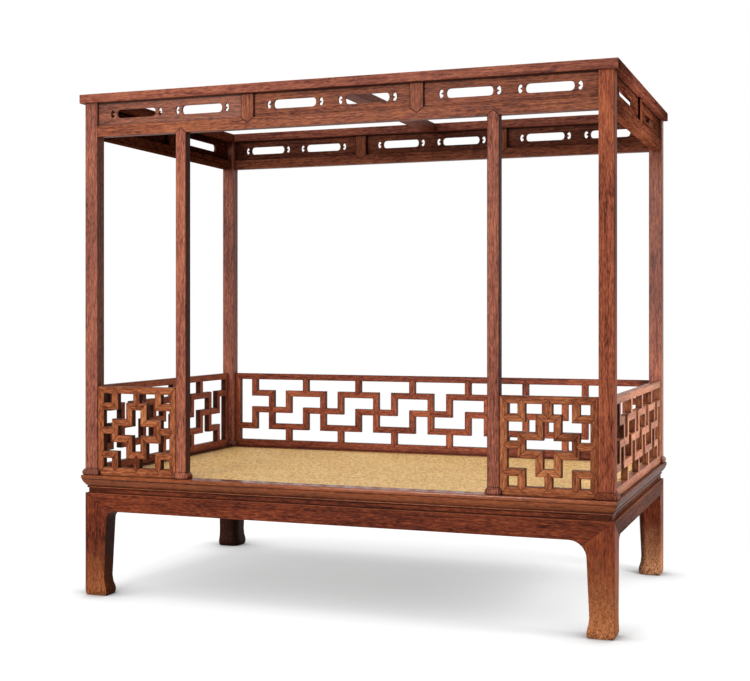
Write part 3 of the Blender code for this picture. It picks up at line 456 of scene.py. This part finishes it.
def wood(name, shade, grain, tone=0.0, gloss=0.46, shift=0.0, round_off=0.0022, wear_and_highlight=0.5, dirt=0.6,
         shine=0.06, side_dirt_and_shade=0.72, foot=None, lines=(), points=()):
    """Wood with its grain along an axis, or along each stick where the mesh holds its own coordinates."""
    made, net, shader = new_material(name)
    place = net.own_place()
    parts = net.split(place)
    if grain == "own":
        vector = net.attribute("wood_place", "Vector")
        tone = net.attribute("wood_tone", "Fac")
    else:
        along, across, through = (parts[i] for i in GRAIN[grain])
        along = net.math("ADD", along, shift)
        vector = net.node("CombineXYZ", {0: along, 1: across, 2: through}).outputs[0]
    dark, mid, light = (linear(*colour) for colour in SHADES[shade])
    values = {
        "Vector": vector, "Dark": dark, "Mid": mid, "Light": light, "Tone": tone,
        "Gloss": gloss, "Round": round_off, "Wear_and_highlight": wear_and_highlight, "Dirt_and_shade": dirt,
    }
    figured = net.node("Group", values, node_tree=ROSEWOOD).outputs
    colour, rough = figured["Color"], figured["Roughness"]
    if grain == "own":
        # The sides and edges of each stick darken: painted shade and dirt
        side = net.times(net.attribute("wood_side_dirt_and_shade", "Fac"), side_dirt_and_shade)
        colour = net.mix(side, colour, STICK_SIDE_DIRT_AND_SHADE)
    if foot:
        colour, rough = worn_foot(net, place, shift, *foot, colour, rough)
    colour = with_lines(net, parts, lines, colour)
    colour = with_points(net, parts, points, colour)
    net.feed(shader, {
        "Base Color": colour,
        "Roughness": rough,
        "Normal": figured["Normal"],
        "Specular IOR Level": shine,
    })
    return made


# CAD pieces that stay: smooth shading and wood with the grain along the piece

SMOOTH_BELOW = math.radians(32)
WELD_WITHIN = 0.00002
TONE_REACH = 0.5
SHIFT_REACH = 30.0


def soften_group():
    """Takes the imported flat shading off and shades smoothly across shallow angles."""
    group = bpy.data.node_groups.new("soften", "GeometryNodeTree")
    for way in ("INPUT", "OUTPUT"):
        group.interface.new_socket("Geometry", in_out=way, socket_type="NodeSocketGeometry")
    given = group.nodes.new("NodeGroupInput")
    clear = group.nodes.new("GeometryNodeRemoveAttribute")
    clear.inputs["Name"].default_value = "custom_normal"
    faces = group.nodes.new("GeometryNodeSetShadeSmooth")
    faces.domain = "FACE"
    edges = group.nodes.new("GeometryNodeSetShadeSmooth")
    edges.domain = "EDGE"
    angle = group.nodes.new("GeometryNodeInputMeshEdgeAngle")
    small = group.nodes.new("FunctionNodeCompare")
    small.data_type = "FLOAT"
    small.operation = "LESS_EQUAL"
    small.inputs[1].default_value = SMOOTH_BELOW
    out = group.nodes.new("NodeGroupOutput")
    group.links.new(given.outputs[0], clear.inputs["Geometry"])
    group.links.new(clear.outputs[0], faces.inputs["Geometry"])
    group.links.new(faces.outputs[0], edges.inputs["Geometry"])
    group.links.new(angle.outputs["Unsigned Angle"], small.inputs[0])
    group.links.new(small.outputs[0], edges.inputs["Shade Smooth"])
    group.links.new(edges.outputs[0], out.inputs[0])
    return group


SOFTEN = soften_group()


def dress(name, shade, grain, tone=None, **look):
    """Gives a CAD node its wood, with a tone of its own where none is given."""
    piece = nodes[name]
    weld = piece.modifiers.new("weld", "WELD")
    weld.merge_threshold = WELD_WITHIN
    piece.modifiers.new("soften", "NODES").node_group = SOFTEN
    if tone is None:
        tone = rng.uniform(-TONE_REACH, TONE_REACH)
    shift = rng.uniform(0.0, SHIFT_REACH)
    piece.data.materials.clear()
    piece.data.materials.append(wood("wood_" + name, shade, grain, tone, shift=shift, **look))


def pointed(name, axis, half, up):
    """Place of the joint line at a piece's pointed end."""
    low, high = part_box(name)
    slope = POINT_HEIGHT / half
    middle = (low[axis] + high[axis]) / 2
    return (axis, middle, half, high.z, -slope) if up else (axis, middle, half, low.z, slope)


# Lines drawn on the pieces: height, half width, strength and colour. Many are painted highlights and painted
# shade
PALE = (190, 108, 70)
DARK = (24, 9, 7)
APRON_TOP = SEAT_TOP - 0.073
CANOPY_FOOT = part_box("canopy_rail_front")[0].z
# A painted highlight on the apron's top edge, and painted shade in the grooves of the waist above it
APRON_LINES = (
    (APRON_TOP - 0.0012, 0.0018, 0.35, PALE),
    (APRON_TOP + 0.002, 0.0024, 0.75, DARK),
    (APRON_TOP + 0.019, 0.003, 0.75, DARK),
)
# The legs share the apron's painted highlight and are darkened at the waist as painted shade
LEG_LINES = (
    APRON_LINES[0],
    (APRON_TOP + 0.0115, 0.0115, 0.8, (60, 25, 17)),
)
# Painted shade in the seat rail's groove and under its moulding, and a painted highlight on the bead
SEAT_GROOVES = (
    (SEAT_TOP - 0.0155, 0.0018, 0.70, DARK),
    (SEAT_TOP - 0.0455, 0.0022, 0.85, DARK),
    (SEAT_TOP - 0.0490, 0.0018, 0.35, PALE),
)
# Two broad painted highlights on the band and the cushion of the seat rail, then its grooves
SEAT_LINES = (
    (SEAT_TOP - 0.0075, 0.0085, 0.20, (212, 124, 72)),
    (SEAT_TOP - 0.030, 0.015, 0.22, (196, 116, 66)),
    *SEAT_GROOVES,
)
BEAD_EDGES = (
    (SEAT_TOP + 0.028, 0.0022, 0.7, DARK),
    (SEAT_TOP + 0.0005, 0.0022, 0.7, DARK),
)
BEAD_LINES = (
    (SEAT_TOP + 0.0125, 0.0185, 0.55, (62, 26, 20)),
    *BEAD_EDGES,
)
# A painted shadow under the canopy rail, along the top of the struts and panels
CANOPY_SHADOW_LINES = ((CANOPY_FOOT, 0.0065, 0.85, DARK),)

# Looks that all pieces of a kind share
POST_LOOK = {"grain": "z", "round_off": 0.0035, "wear_and_highlight": 0.8, "lines": BEAD_LINES}
DOOR_LOOK = {"shade": "post", "grain": "z", "round_off": 0.003, "wear_and_highlight": 0.7, "lines": BEAD_EDGES}
LEG_LOOK = {"grain": "z", "gloss": 0.50, "round_off": 0.006, "wear_and_highlight": 0.12, "lines": LEG_LINES}
SEAT_LOOK = {"tone": -0.1, "round_off": 0.0035, "wear_and_highlight": 0.7, "dirt": 0.8}
APRON_LOOK = {"wear_and_highlight": 0.2, "dirt": 0.8, "lines": APRON_LINES}
CANOPY_LOOK = {"shade": "canopy", "gloss": 0.50}
BRACE_LOOK = {"shade": "inner", "grain": "y", "gloss": 0.65}
# Looks of each corner's post and leg. Wear of a foot is its share, its bleaching and its height
CORNERS = {
    "front_left": (
        {"shade": "post", "tone": 0.2, "shine": 0.16},
        {"shade": "leg", "tone": -0.6, "foot": (0.5, 0.0, 0.22)},
    ),
    "front_right": (
        {"shade": "warm_post", "tone": 0.2, "shine": 0.03},
        {"shade": "leg", "tone": 0.45, "foot": (0.95, 0.1, 0.30)},
    ),
    # The back left leg takes the shaded wood and no worn foot: painted shade
    "back_left": (
        {"shade": "post", "tone": 0.2, "shine": 0.22},
        {"shade": "shaded", "tone": -0.9},
    ),
    # The back right foot's strong bleaching is wear and also painted light
    "back_right": (
        {"shade": "post", "tone": 0.3, "shine": 0.28},
        {"shade": "leg", "tone": 0.3, "foot": (1.0, 0.6, 0.25)},
    ),
}
DOOR_TONES = {"left": 0.9, "right": 0.5}
# Looks of the long pieces at front and back, with their grain along x, and of those at the ends. The seat
# rails and aprons at the ends take the shaded wood, whose darkness is painted shade
SEAT_BY_GRAIN = {
    "x": {"shade": "seat", "gloss": 0.15, "shine": 0.12, "lines": SEAT_LINES},
    "y": {"shade": "shaded", "gloss": 0.36, "shine": 0.025, "lines": SEAT_GROOVES},
}
APRON_BY_GRAIN = {
    "x": {"shade": "leg", "gloss": 0.5, "shine": 0.06},
    "y": {"shade": "shaded", "gloss": 0.42, "shine": 0.005},
}
FRIEZE_BY_GRAIN = {
    "x": {"shade": "frieze", "gloss": 0.46, "shine": 0.07},
    "y": {"shade": "frieze", "gloss": 0.6, "shine": 0.0},
}
# The left frieze's low tone paints shade onto its inner faces
FRIEZE_TONES = {"front": 0.0, "back": -0.2, "left": -1.2, "right": -0.4}
FRIEZE_DIRT_AND_SHADE = 0.9
# The panels are darker than the rails: painted shade in their recess
PANEL_TONE = -0.5
# The first front panel is paler than the rest: it has more shine and none of the panels' painted shade
PALE_PANEL = "frieze_panel_front_1"
PALE_PANEL_SHINE = 0.24
CANOPY_TONES = {"front": 0.4, "right": 0.1}


def dress_frieze(side, grain, door_points):
    look = {**FRIEZE_BY_GRAIN[grain], "tone": FRIEZE_TONES[side]}
    panels, axis = (3, 0) if grain == "x" else (2, 1)
    marks = []
    for number in range(1, panels):
        name = f"frieze_strut_{side}_{number}"
        low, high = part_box(name)
        marks.append(pointed(name, axis, (high[axis] - low[axis]) / 2, False))
        dress(name, grain="z", lines=CANOPY_SHADOW_LINES, points=marks[-1:], **look)
    if side == "front":
        marks += door_points
    dress("frieze_rail_" + side, grain=grain, dirt=FRIEZE_DIRT_AND_SHADE, points=marks, **look)
    for number in range(1, panels + 1):
        name = f"frieze_panel_{side}_{number}"
        own = {"tone": look["tone"] + PANEL_TONE}
        if name == PALE_PANEL:
            own = {"shine": PALE_PANEL_SHINE}
        dress(name, grain=grain, dirt=FRIEZE_DIRT_AND_SHADE, lines=CANOPY_SHADOW_LINES, **{**look, **own})


def dress_side(side, grain, door_points):
    dress("seat_rail_" + side, grain=grain, **SEAT_LOOK, **SEAT_BY_GRAIN[grain])
    dress("apron_" + side, grain=grain, **APRON_LOOK, **APRON_BY_GRAIN[grain])
    shine = FRIEZE_BY_GRAIN[grain]["shine"]
    dress("canopy_rail_" + side, grain=grain, tone=CANOPY_TONES.get(side), shine=shine, **CANOPY_LOOK)
    dress_frieze(side, grain, door_points)


def dress_cad_pieces():
    for corner, (post, leg) in CORNERS.items():
        dress("post_" + corner, **POST_LOOK, **post)
        dress("leg_" + corner, **LEG_LOOK, **leg)
    door_points = []
    for side, tone in DOOR_TONES.items():
        name = "post_door_" + side
        door_points.append(pointed(name, 0, DOOR_WIDTH / 2, True))
        dress(name, tone=tone, points=door_points[-1:], **DOOR_LOOK)
    for side, grain in (("front", "x"), ("back", "x"), ("left", "y"), ("right", "y")):
        dress_side(side, grain, door_points)
    dress("canopy_cross_bar", grain="y", **CANOPY_LOOK)
    for word in ("left", "middle", "right"):
        dress("mat_brace_" + word, **BRACE_LOOK)


dress_cad_pieces()


# Railings: single sticks, mitred at corners and pointed where they meet another stick

EASE = 0.0009
BORDER = 0.0036
JOINT_EASE = 0.0008
JOINT_GAP = 0.00025
JOINT_BORDER = 0.0001
# Share of the easing that is left, share of its depth, and darkness, from the face to the side. The darkness
# paints shade and dirt onto each stick's edges and sides
EASED = ((1.0, 0.0, 0.6), (0.3, 0.3, 0.8), (0.0, 1.0, 1.0))
TIP = STICK / 2
CROSS_TIP = STICK * 0.46
# Outline of a bead that a railing's foot rail and stile follow, in shares of its reach and height
RAIL_CUT = ((0.62, 0.0), (0.97, 0.16))
STILE_CUT = ((0.0, 1.0), (0.36, 0.92), (0.80, 0.72))
CLOSE = 1e-6
# Reach of the random start of a stick's grain, along, across and through it, and of its random tone
GRAIN_REACH = (40, 3, 3)
STICK_TONE = 0.8


def inset(points, kinds, free, joint):
    """Outline moved inwards, by one distance on free edges and by another on edges that meet a neighbour."""
    moved = []
    count = len(points)
    for i in range(count):
        lines = []
        for j in (i - 1, i):
            corner = Vector(points[j])
            along = (Vector(points[(j + 1) % count]) - corner).normalized()
            away = free if kinds[j] == "free" else joint
            lines.append((corner + Vector((-along.y, along.x)) * away, along))
        (start, way), (other_start, other_way) = lines
        cross = way.x * other_way.y - way.y * other_way.x
        if abs(cross) < CLOSE:
            moved.append(tuple(other_start))
            continue
        gap = other_start - start
        moved.append(tuple(start + way * ((gap.x * other_way.y - gap.y * other_way.x) / cross)))
    return moved


class Sticks:
    """Gathers sticks of one thickness that lie in a plane, u along it and v up, each with its own grain."""

    def __init__(self, place):
        self.place = place
        self.work = bmesh.new()
        self.grain = self.work.verts.layers.float_vector.new("wood_place")
        self.tone = self.work.verts.layers.float.new("wood_tone")
        self.side = self.work.verts.layers.float.new("wood_side_dirt_and_shade")

    def add(self, points, kinds, upright, tone):
        far = [rng.uniform(0, reach) for reach in GRAIN_REACH]
        tone += rng.uniform(-STICK_TONE, STICK_TONE)
        # Painted shade and dirt: the face darkens a little towards its free edges, and the sides are darker
        # still
        rings = [(EASE + BORDER, JOINT_GAP + JOINT_EASE + JOINT_BORDER, 0.0, 0.0)]
        for share, depth, side in EASED:
            rings.append((EASE * share, JOINT_GAP + JOINT_EASE * share, EASE * depth, side))
        rings += [(free, joint, RAILING_THICK - depth, side) for free, joint, depth, side in reversed(rings)]
        loops = []
        for free, joint, depth, side in rings:
            loop = []
            for u, v in inset(points, kinds, free, joint):
                vert = self.work.verts.new(self.place @ Vector((u, v, depth)))
                along, across = (v, u) if upright else (u, v)
                vert[self.grain] = (along + far[0], across + far[1], depth + far[2])
                vert[self.tone] = tone
                vert[self.side] = side
                loop.append(vert)
            loops.append(loop)
        count = len(points)
        for low, high in zip(loops, loops[1:]):
            for i in range(count):
                j = (i + 1) % count
                self.work.faces.new((low[i], low[j], high[j], high[i]))
        self.work.faces.new(list(reversed(loops[0])))
        self.work.faces.new(loops[-1])

    def object(self, name, material, node):
        bmesh.ops.recalc_face_normals(self.work, faces=self.work.faces[:])
        mesh = bpy.data.meshes.new(name)
        self.work.to_mesh(mesh)
        self.work.free()
        mesh.materials.append(material)
        made = put_in_scene(name, mesh)
        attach(made, "root")
        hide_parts(node)


class Lattice:
    """Sticks on the lines of a grid. columns and rows hold (from, to) for each line; runs join crossings."""

    def __init__(self, columns, rows):
        self.columns = columns
        self.rows = rows
        self.links = {}

    def run(self, one, other, group):
        """Straight run of stick between two crossings (column, row)."""
        axis = 0 if one[1] == other[1] else 1
        step, last = sorted((one, other))
        while step != last:
            ahead = (step[0] + 1, step[1]) if axis == 0 else (step[0], step[1] + 1)
            self.links[(step, ahead)] = group
            step = ahead

    def border(self):
        """Runs of the frame round the whole grid."""
        right = len(self.columns) - 1
        top = len(self.rows) - 1
        self.run((0, 0), (right, 0), "frame")
        self.run((0, top), (right, top), "frame")
        self.run((0, 0), (0, top), "frame")
        self.run((right, 0), (right, top), "frame")

    def arm(self, at, way):
        """Group of the stick that leaves a crossing towards E, W, N or S, or None."""
        x, y = at
        key = {
            "E": ((x, y), (x + 1, y)),
            "W": ((x - 1, y), (x, y)),
            "N": ((x, y), (x, y + 1)),
            "S": ((x, y - 1), (x, y)),
        }[way]
        return self.links.get(key)

    def passes(self, at, axis):
        """A stick runs on through a crossing. Where two would, the upright one does."""
        if axis == 1:
            return bool(self.arm(at, "N") and self.arm(at, "S"))
        flat = bool(self.arm(at, "E") and self.arm(at, "W"))
        return flat and not self.passes(at, 1)

    def sticks(self):
        """(outline, kinds of its edges, upright, group) of every stick."""
        found = []
        for axis in (0, 1):
            for low, high in sorted(self.links):
                if (low[1] == high[1]) != (axis == 0):
                    continue
                if self.passes(low, axis):
                    continue
                group = self.links[(low, high)]
                chain = [low, high]
                while self.passes(chain[-1], axis):
                    x, y = chain[-1]
                    chain.append((x + 1, y) if axis == 0 else (x, y + 1))
                found.append((*self.outline(chain, axis), axis == 1, group))
        return found

    def outline(self, chain, axis):
        """Outline of the stick along a chain of crossings, and the kinds of its edges."""
        # Worked out as for a level stick; an upright one swaps the two coordinates
        ahead, behind, left, right = ("E", "W", "N", "S") if axis == 0 else ("N", "S", "E", "W")

        def local(at):
            """Start and stop of a crossing along the stick, and its low and high side."""
            column, row = self.columns[at[0]], self.rows[at[1]]
            return (*column, *row) if axis == 0 else (*row, *column)

        def tip(at):
            """Depth of a pointed end against a stick that runs through, or None."""
            if not (self.arm(at, left) and self.arm(at, right) and self.passes(at, 1 - axis)):
                return None
            return CROSS_TIP if self.arm(at, ahead) and self.arm(at, behind) else TIP

        def end(at, far):
            """Corners of an end, from the low side to the high one."""
            start, stop, low, high = local(at)
            near_edge, far_edge = (start, stop) if far else (stop, start)
            depth = tip(at)
            if depth is not None:
                point = near_edge + depth if far else near_edge - depth
                return [(near_edge, low), (point, (low + high) / 2), (near_edge, high)]
            if self.arm(at, left):
                return [(far_edge, low), (near_edge, high)]
            if self.arm(at, right):
                return [(near_edge, low), (far_edge, high)]
            return [(far_edge, low), (far_edge, high)]

        first = end(chain[0], False)
        last = end(chain[-1], True)
        points = []
        kinds = []

        def put(point, kind):
            points.append(point)
            kinds.append(kind)

        # Low side from the start to the end, then the high side back, with notches for pointed ends
        put(first[0], "free")
        for at in chain[1:-1]:
            if self.arm(at, right):
                start, stop, low, high = local(at)
                depth = CROSS_TIP if self.arm(at, left) else TIP
                put((start, low), "joint")
                put(((start + stop) / 2, low + depth), "joint")
                put((stop, low), "free")
        for point in last[:-1]:
            put(point, "joint")
        put(last[-1], "free")
        for at in reversed(chain[1:-1]):
            if self.arm(at, left):
                start, stop, low, high = local(at)
                depth = CROSS_TIP if self.arm(at, right) else TIP
                put((stop, high), "joint")
                put(((start + stop) / 2, high - depth), "joint")
                put((start, high), "free")
        for point in reversed(first[1:]):
            put(point, "joint")
        if axis == 1:
            # Swapping the coordinates turns the outline round
            points = [(across, along) for along, across in points[::-1]]
            kinds = kinds[::-1]
            kinds = kinds[1:] + kinds[:1]
        return points, kinds


def notched(points, kinds, width, left_bead, right_bead):
    """Cuts the foot corners of a railing's frame round the beads of its posts."""
    high = BEAD_HEIGHT + FIT
    for at, bead in ((0.0, left_bead + FIT), (width, -right_bead - FIT)):
        for i, point in enumerate(points):
            if (Vector(point) - Vector((at, 0.0))).length > CLOSE:
                continue
            before = points[i - 1]
            after = points[(i + 1) % len(points)]
            if abs(before[1]) < CLOSE or abs(after[1]) < CLOSE:
                shares = RAIL_CUT
                onward = abs(before[1]) < CLOSE
            else:
                shares = STILE_CUT
                onward = abs(before[0] - at) < CLOSE
            # The end follows the bead and then the mitre
            cut = [(at + across * bead, up * high) for across, up in shares]
            cut.append((at + bead, abs(bead) * FOOT_RAIL / STICK))
            points[i : i + 1] = cut if onward else cut[::-1]
            kinds[i : i + 1] = ["free"] * (len(cut) - 1) + [kinds[i]]
            break
    return points, kinds


SIDES = {"front": (0, -1), "back": (0, 1), "left": (-1, 0), "right": (1, 0)}


def side_place(side):
    """Turns (along, up, out) of a railing's plane into the bed's frame."""
    way_x, way_y = SIDES[side]
    out = Vector((way_x, way_y, 0.0))
    up = Vector((0.0, 0.0, 1.0))
    along = up.cross(out)
    reach = (Y_OUT if way_y else X_OUT) - RAILING_BACK - RAILING_THICK
    made = Matrix((along, up, out)).transposed().to_4x4()
    made.translation = out * reach
    return made


def build_railing(word, lattice, place, width, beads, material, tone):
    frame_part = Sticks(place)
    fret_part = Sticks(place)
    for points, kinds, upright, group in lattice.sticks():
        if group == "frame":
            points, kinds = notched(points, kinds, width, *beads)
        target = fret_part if group == "fret" else frame_part
        target.add(points, kinds, upright, tone)
    frame_part.object(f"frame_sticks_{word}", material, f"railing_{word}_frame")
    fret_part.object(f"fret_sticks_{word}", material, f"railing_{word}_fret")


def running_railing(side, periods, material, tone):
    """Railing at the back or at an end, filled with a running fret."""
    width = 2 * (X_IN if side == "back" else Y_IN) - 2 * FIT
    flip = -1.0 if side in ("back", "left") else 1.0
    place = side_place(side) @ Matrix.Diagonal((flip, 1.0, 1.0, 1.0))
    place = place @ Matrix.Translation((-width / 2, SEAT_TOP + FIT, 0.0))
    last = 3 * periods + 1
    step = (width - STICK) / last
    columns = [(i * step, i * step + STICK) for i in range(last + 1)]
    levels = 4
    gap = (RAILING_HEIGHT - FOOT_RAIL - levels * STICK) / levels
    rows = [(0.0, FOOT_RAIL)]
    for i in range(levels):
        low = FOOT_RAIL + gap + i * (STICK + gap)
        rows.append((low, low + STICK))
    lattice = Lattice(columns, rows)
    lattice.border()
    for period in range(periods):
        before = 3 * period
        first, middle, third = before + 1, before + 2, before + 3
        lattice.run((middle, 1), (middle, 3), "fret")
        lattice.run((first, 2), (third, 2), "fret")
        lattice.run((first, 3), (first, 4), "fret")
        lattice.run((first, 1), (first, 2), "fret")
        lattice.run((third, 2), (third, 3), "fret")
        lattice.run((third, 0), (third, 1), "fret")
        lattice.run((before if period > 0 else first, 3), (middle, 3), "fret")
        lattice.run((middle, 1), (third + 1 if period < periods - 1 else third, 1), "fret")
    lattice.run((0, 1), (1, 1), "fret")
    lattice.run((last - 1, 3), (last, 3), "fret")
    build_railing(side, lattice, place, width, (BEAD_OUT, BEAD_OUT), material, tone)


def front_railing(word, way, material, tone):
    """Short railing beside the doorway, filled with a stepped cross."""
    near = DOOR_PLACE + DOOR_WIDTH / 2 + FIT
    width = X_IN - FIT - near
    start = near if way > 0 else -near - width
    place = side_place("front") @ Matrix.Translation((start, SEAT_TOP + FIT, 0.0))
    gaps = 5
    gap_across = (width - (gaps + 1) * STICK) / gaps
    gap_up = (RAILING_HEIGHT - FOOT_RAIL - gaps * STICK) / gaps
    uprights = [i * (STICK + gap_across) for i in range(gaps + 1)]
    levels = [0.0] + [FOOT_RAIL + gap_up + i * (STICK + gap_up) for i in range(gaps)]
    # A further line of each kind runs through the middle
    uprights.insert(3, width / 2 - STICK / 2)
    levels.insert(3, (FOOT_RAIL + RAILING_HEIGHT - STICK) / 2 - STICK / 2)
    columns = [(left, left + STICK) for left in uprights]
    rows = [(low, low + STICK) for low in levels]
    rows[0] = (0.0, FOOT_RAIL)
    lattice = Lattice(columns, rows)
    lattice.border()
    for x, edge_x in ((1, 0), (5, 6)):
        for y, edge_y in ((1, 0), (5, 6)):
            lattice.run((x, y), (x, edge_y), "corner")
            lattice.run((x, y), (edge_x, y), "corner")
    for y, edge_y, shoulder in ((5, 6, 4), (1, 0, 2)):
        lattice.run((2, y), (4, y), "fret")
        lattice.run((3, y), (3, edge_y), "fret")
        for x in (2, 4):
            lattice.run((x, y), (x, shoulder), "fret")
        lattice.run((1, shoulder), (2, shoulder), "fret")
        lattice.run((4, shoulder), (5, shoulder), "fret")
    for x, edge_x in ((1, 0), (5, 6)):
        lattice.run((x, 2), (x, 4), "fret")
        lattice.run((x, 3), (edge_x, 3), "fret")
    beads = (DOOR_BEAD_OUT, BEAD_OUT) if way > 0 else (BEAD_OUT, DOOR_BEAD_OUT)
    build_railing(word, lattice, place, width, beads, material, tone)


RAILING_LOOK = {"grain": "own", "round_off": 0.0012, "wear_and_highlight": 0.3, "dirt": 0.8}
FRET = wood("wood_fret", "fret", gloss=0.40, shine=0.05, **RAILING_LOOK)
END_FRET = wood("wood_end_fret", "fret_end", gloss=0.34, shine=0.04, side_dirt_and_shade=0.48, **RAILING_LOOK)
# The back and left railings take a darker wood as painted shade
PAINTED_SHADE_FRET = wood("wood_painted_shade_fret", "fret_painted_shade", gloss=0.40, shine=0.08, **RAILING_LOOK)
running_railing("back", periods=7, material=PAINTED_SHADE_FRET, tone=0.4)
running_railing("left", periods=4, material=PAINTED_SHADE_FRET, tone=0.5)
running_railing("right", periods=4, material=END_FRET, tone=0.4)
front_railing("front_left", way=-1, material=FRET, tone=-0.35)
front_railing("front_right", way=1, material=FRET, tone=-0.05)


# Woven mat and the webbing under it

MAT_SAG = 0.005
SHEET_STEPS = (60, 36)
STRANDS_PER_METRE = 230.0
CORDS_PER_METRE = 120.0
TWILL_TURN = 12.0
# Keeps the random numbers of the rows apart from those of the columns
ROW_NUMBERS = 5000.0
CANE_DARK = linear(186, 128, 60)
CANE_MID = linear(240, 190, 114)
CANE_PALE = linear(255, 223, 152)
# Painted shade between the strands
CANE_GAP_SHADE = linear(92, 60, 30)
GAP_SHADE_DARK = 0.75
CORD_DARK = linear(48, 32, 20)
CORD_PALE = linear(142, 108, 70)


def sagged(name, node, material):
    """Thin sheet in the place of a CAD sheet, hanging a little lower in the middle."""
    low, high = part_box(node)
    middle = (low + high) / 2
    half = (high - low) / 2
    work = bmesh.new()
    bmesh.ops.create_grid(work, x_segments=SHEET_STEPS[0], y_segments=SHEET_STEPS[1], size=1.0)
    for vert in work.verts:
        x, y = vert.co.x, vert.co.y
        drop = MAT_SAG * (1 - x * x) * (1 - y * y)
        vert.co = (middle.x + half.x * x, middle.y + half.y * y, high.z - drop)
    for made_face in work.faces:
        made_face.smooth = True
    mesh = bpy.data.meshes.new(name)
    work.to_mesh(mesh)
    work.free()
    mesh.materials.append(material)
    made = put_in_scene(name, mesh)
    thick = made.modifiers.new("thickness", "SOLIDIFY")
    thick.thickness = high.z - low.z
    thick.offset = -1.0
    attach(made, "root")
    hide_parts(node)


def strand_profile(net, over, x, y):
    """Height of the upper strand, 0 at its edges and 1 in its middle. It runs along x where over is 1."""
    across = net.choose(over, net.math("FRACT", x), net.math("FRACT", y))
    beside = net.math("SUBTRACT", across, 0.5)
    return net.plus(1.0, net.times(beside, beside), -4.0)


def cane_material():
    """Split cane in a fine herringbone: strands along x and y that pass over two and under two."""
    made, net, shader = new_material("woven_cane")
    place = net.wandered(net.own_place(), (5.0, 5.0, 5.0), (0.010, 0.010, 0.0))
    x, y, _ = net.split(net.scaled(place, (STRANDS_PER_METRE, STRANDS_PER_METRE, 1.0)))
    column, row = net.math("FLOOR", x), net.math("FLOOR", y)
    # The slope of the twill turns round every twelve strands
    band = net.math("FRACT", net.math("DIVIDE", column, 2 * TWILL_TURN))
    fold = net.away(net.times(band, 2 * TWILL_TURN), TWILL_TURN)
    step = net.math("FRACT", net.math("DIVIDE", net.math("ADD", fold, row), 4.0))
    over = net.math("LESS_THAN", step, 0.49)
    profile = strand_profile(net, over, x, y)
    each = net.random(net.choose(over, column, net.math("ADD", row, ROW_NUMBERS)))
    # Flecks of colour along the twill
    along = net.math("SUBTRACT", net.times(y, 0.15), net.times(x, 0.05))
    beside = net.math("FLOOR", net.math("ADD", net.times(x, 0.52), net.times(y, 0.18)))
    lengthwise = net.math("FLOOR", net.plus(along, net.random(beside), 40.0))
    cell = net.node("CombineXYZ", {0: beside, 1: lengthwise}).outputs[0]
    fleck = net.node("TexWhiteNoise", {"Vector": cell}, noise_dimensions="2D").outputs["Value"]
    cloud = net.noise(place, (3.0, 6.0, 1.0), 4.0, 0.6)
    streak = net.noise(place, (4.0, 90.0, 1.0), 3.0, 0.6)
    light = 0.13
    for value, share in ((each, 0.20), (fleck, 0.58), (over, 0.10)):
        light = net.plus(light, value, share)
    for value, share in ((cloud, 0.3), (streak, 0.8)):
        light = net.swayed(light, value, share)
    colour = net.shaded(light, CANE_DARK, CANE_MID, CANE_PALE)
    # Painted shade at the rounded edges of the strands and in the gaps between them
    gap = net.span(profile, 0.45, 0.05)
    colour = net.mix(net.times(gap, GAP_SHADE_DARK), colour, CANE_GAP_SHADE)
    bump = net.node("Bump", {"Strength": 0.5, "Distance": 0.0012, "Height": profile}).outputs[0]
    net.feed(shader, {
        "Base Color": colour,
        "Roughness": net.span(each, 0.0, 1.0, 0.42, 0.62),
        "Normal": bump,
        "Specular IOR Level": 0.35,
    })
    return made


def webbing_material():
    """Coarse palm-fibre cords, crossing at right angles."""
    made, net, shader = new_material("palm_cords")
    place = net.own_place()
    x, y, _ = net.split(net.scaled(place, (CORDS_PER_METRE, CORDS_PER_METRE, 1.0)))
    check = net.math("ADD", net.math("FLOOR", x), net.math("FLOOR", y))
    over = net.math("LESS_THAN", net.math("FRACT", net.math("DIVIDE", check, 2.0)), 0.25)
    profile = strand_profile(net, over, x, y)
    fibre = net.noise(place, (260.0, 260.0, 260.0), 4.0, 0.7)
    # Each cord is painted lighter along its middle and darker at its edges: painted shade of its roundness
    light = net.plus(net.times(fibre, 0.6), profile, 0.5)
    colour = net.mix(net.span(light, 0.2, 0.9), CORD_DARK, CORD_PALE)
    bump = net.node("Bump", {"Strength": 0.8, "Distance": 0.003, "Height": light}).outputs[0]
    net.feed(shader, {"Base Color": colour, "Roughness": 0.9, "Normal": bump})
    return made


sagged("mat", "cane_mat", cane_material())
sagged("webbing", "palm_webbing", webbing_material())
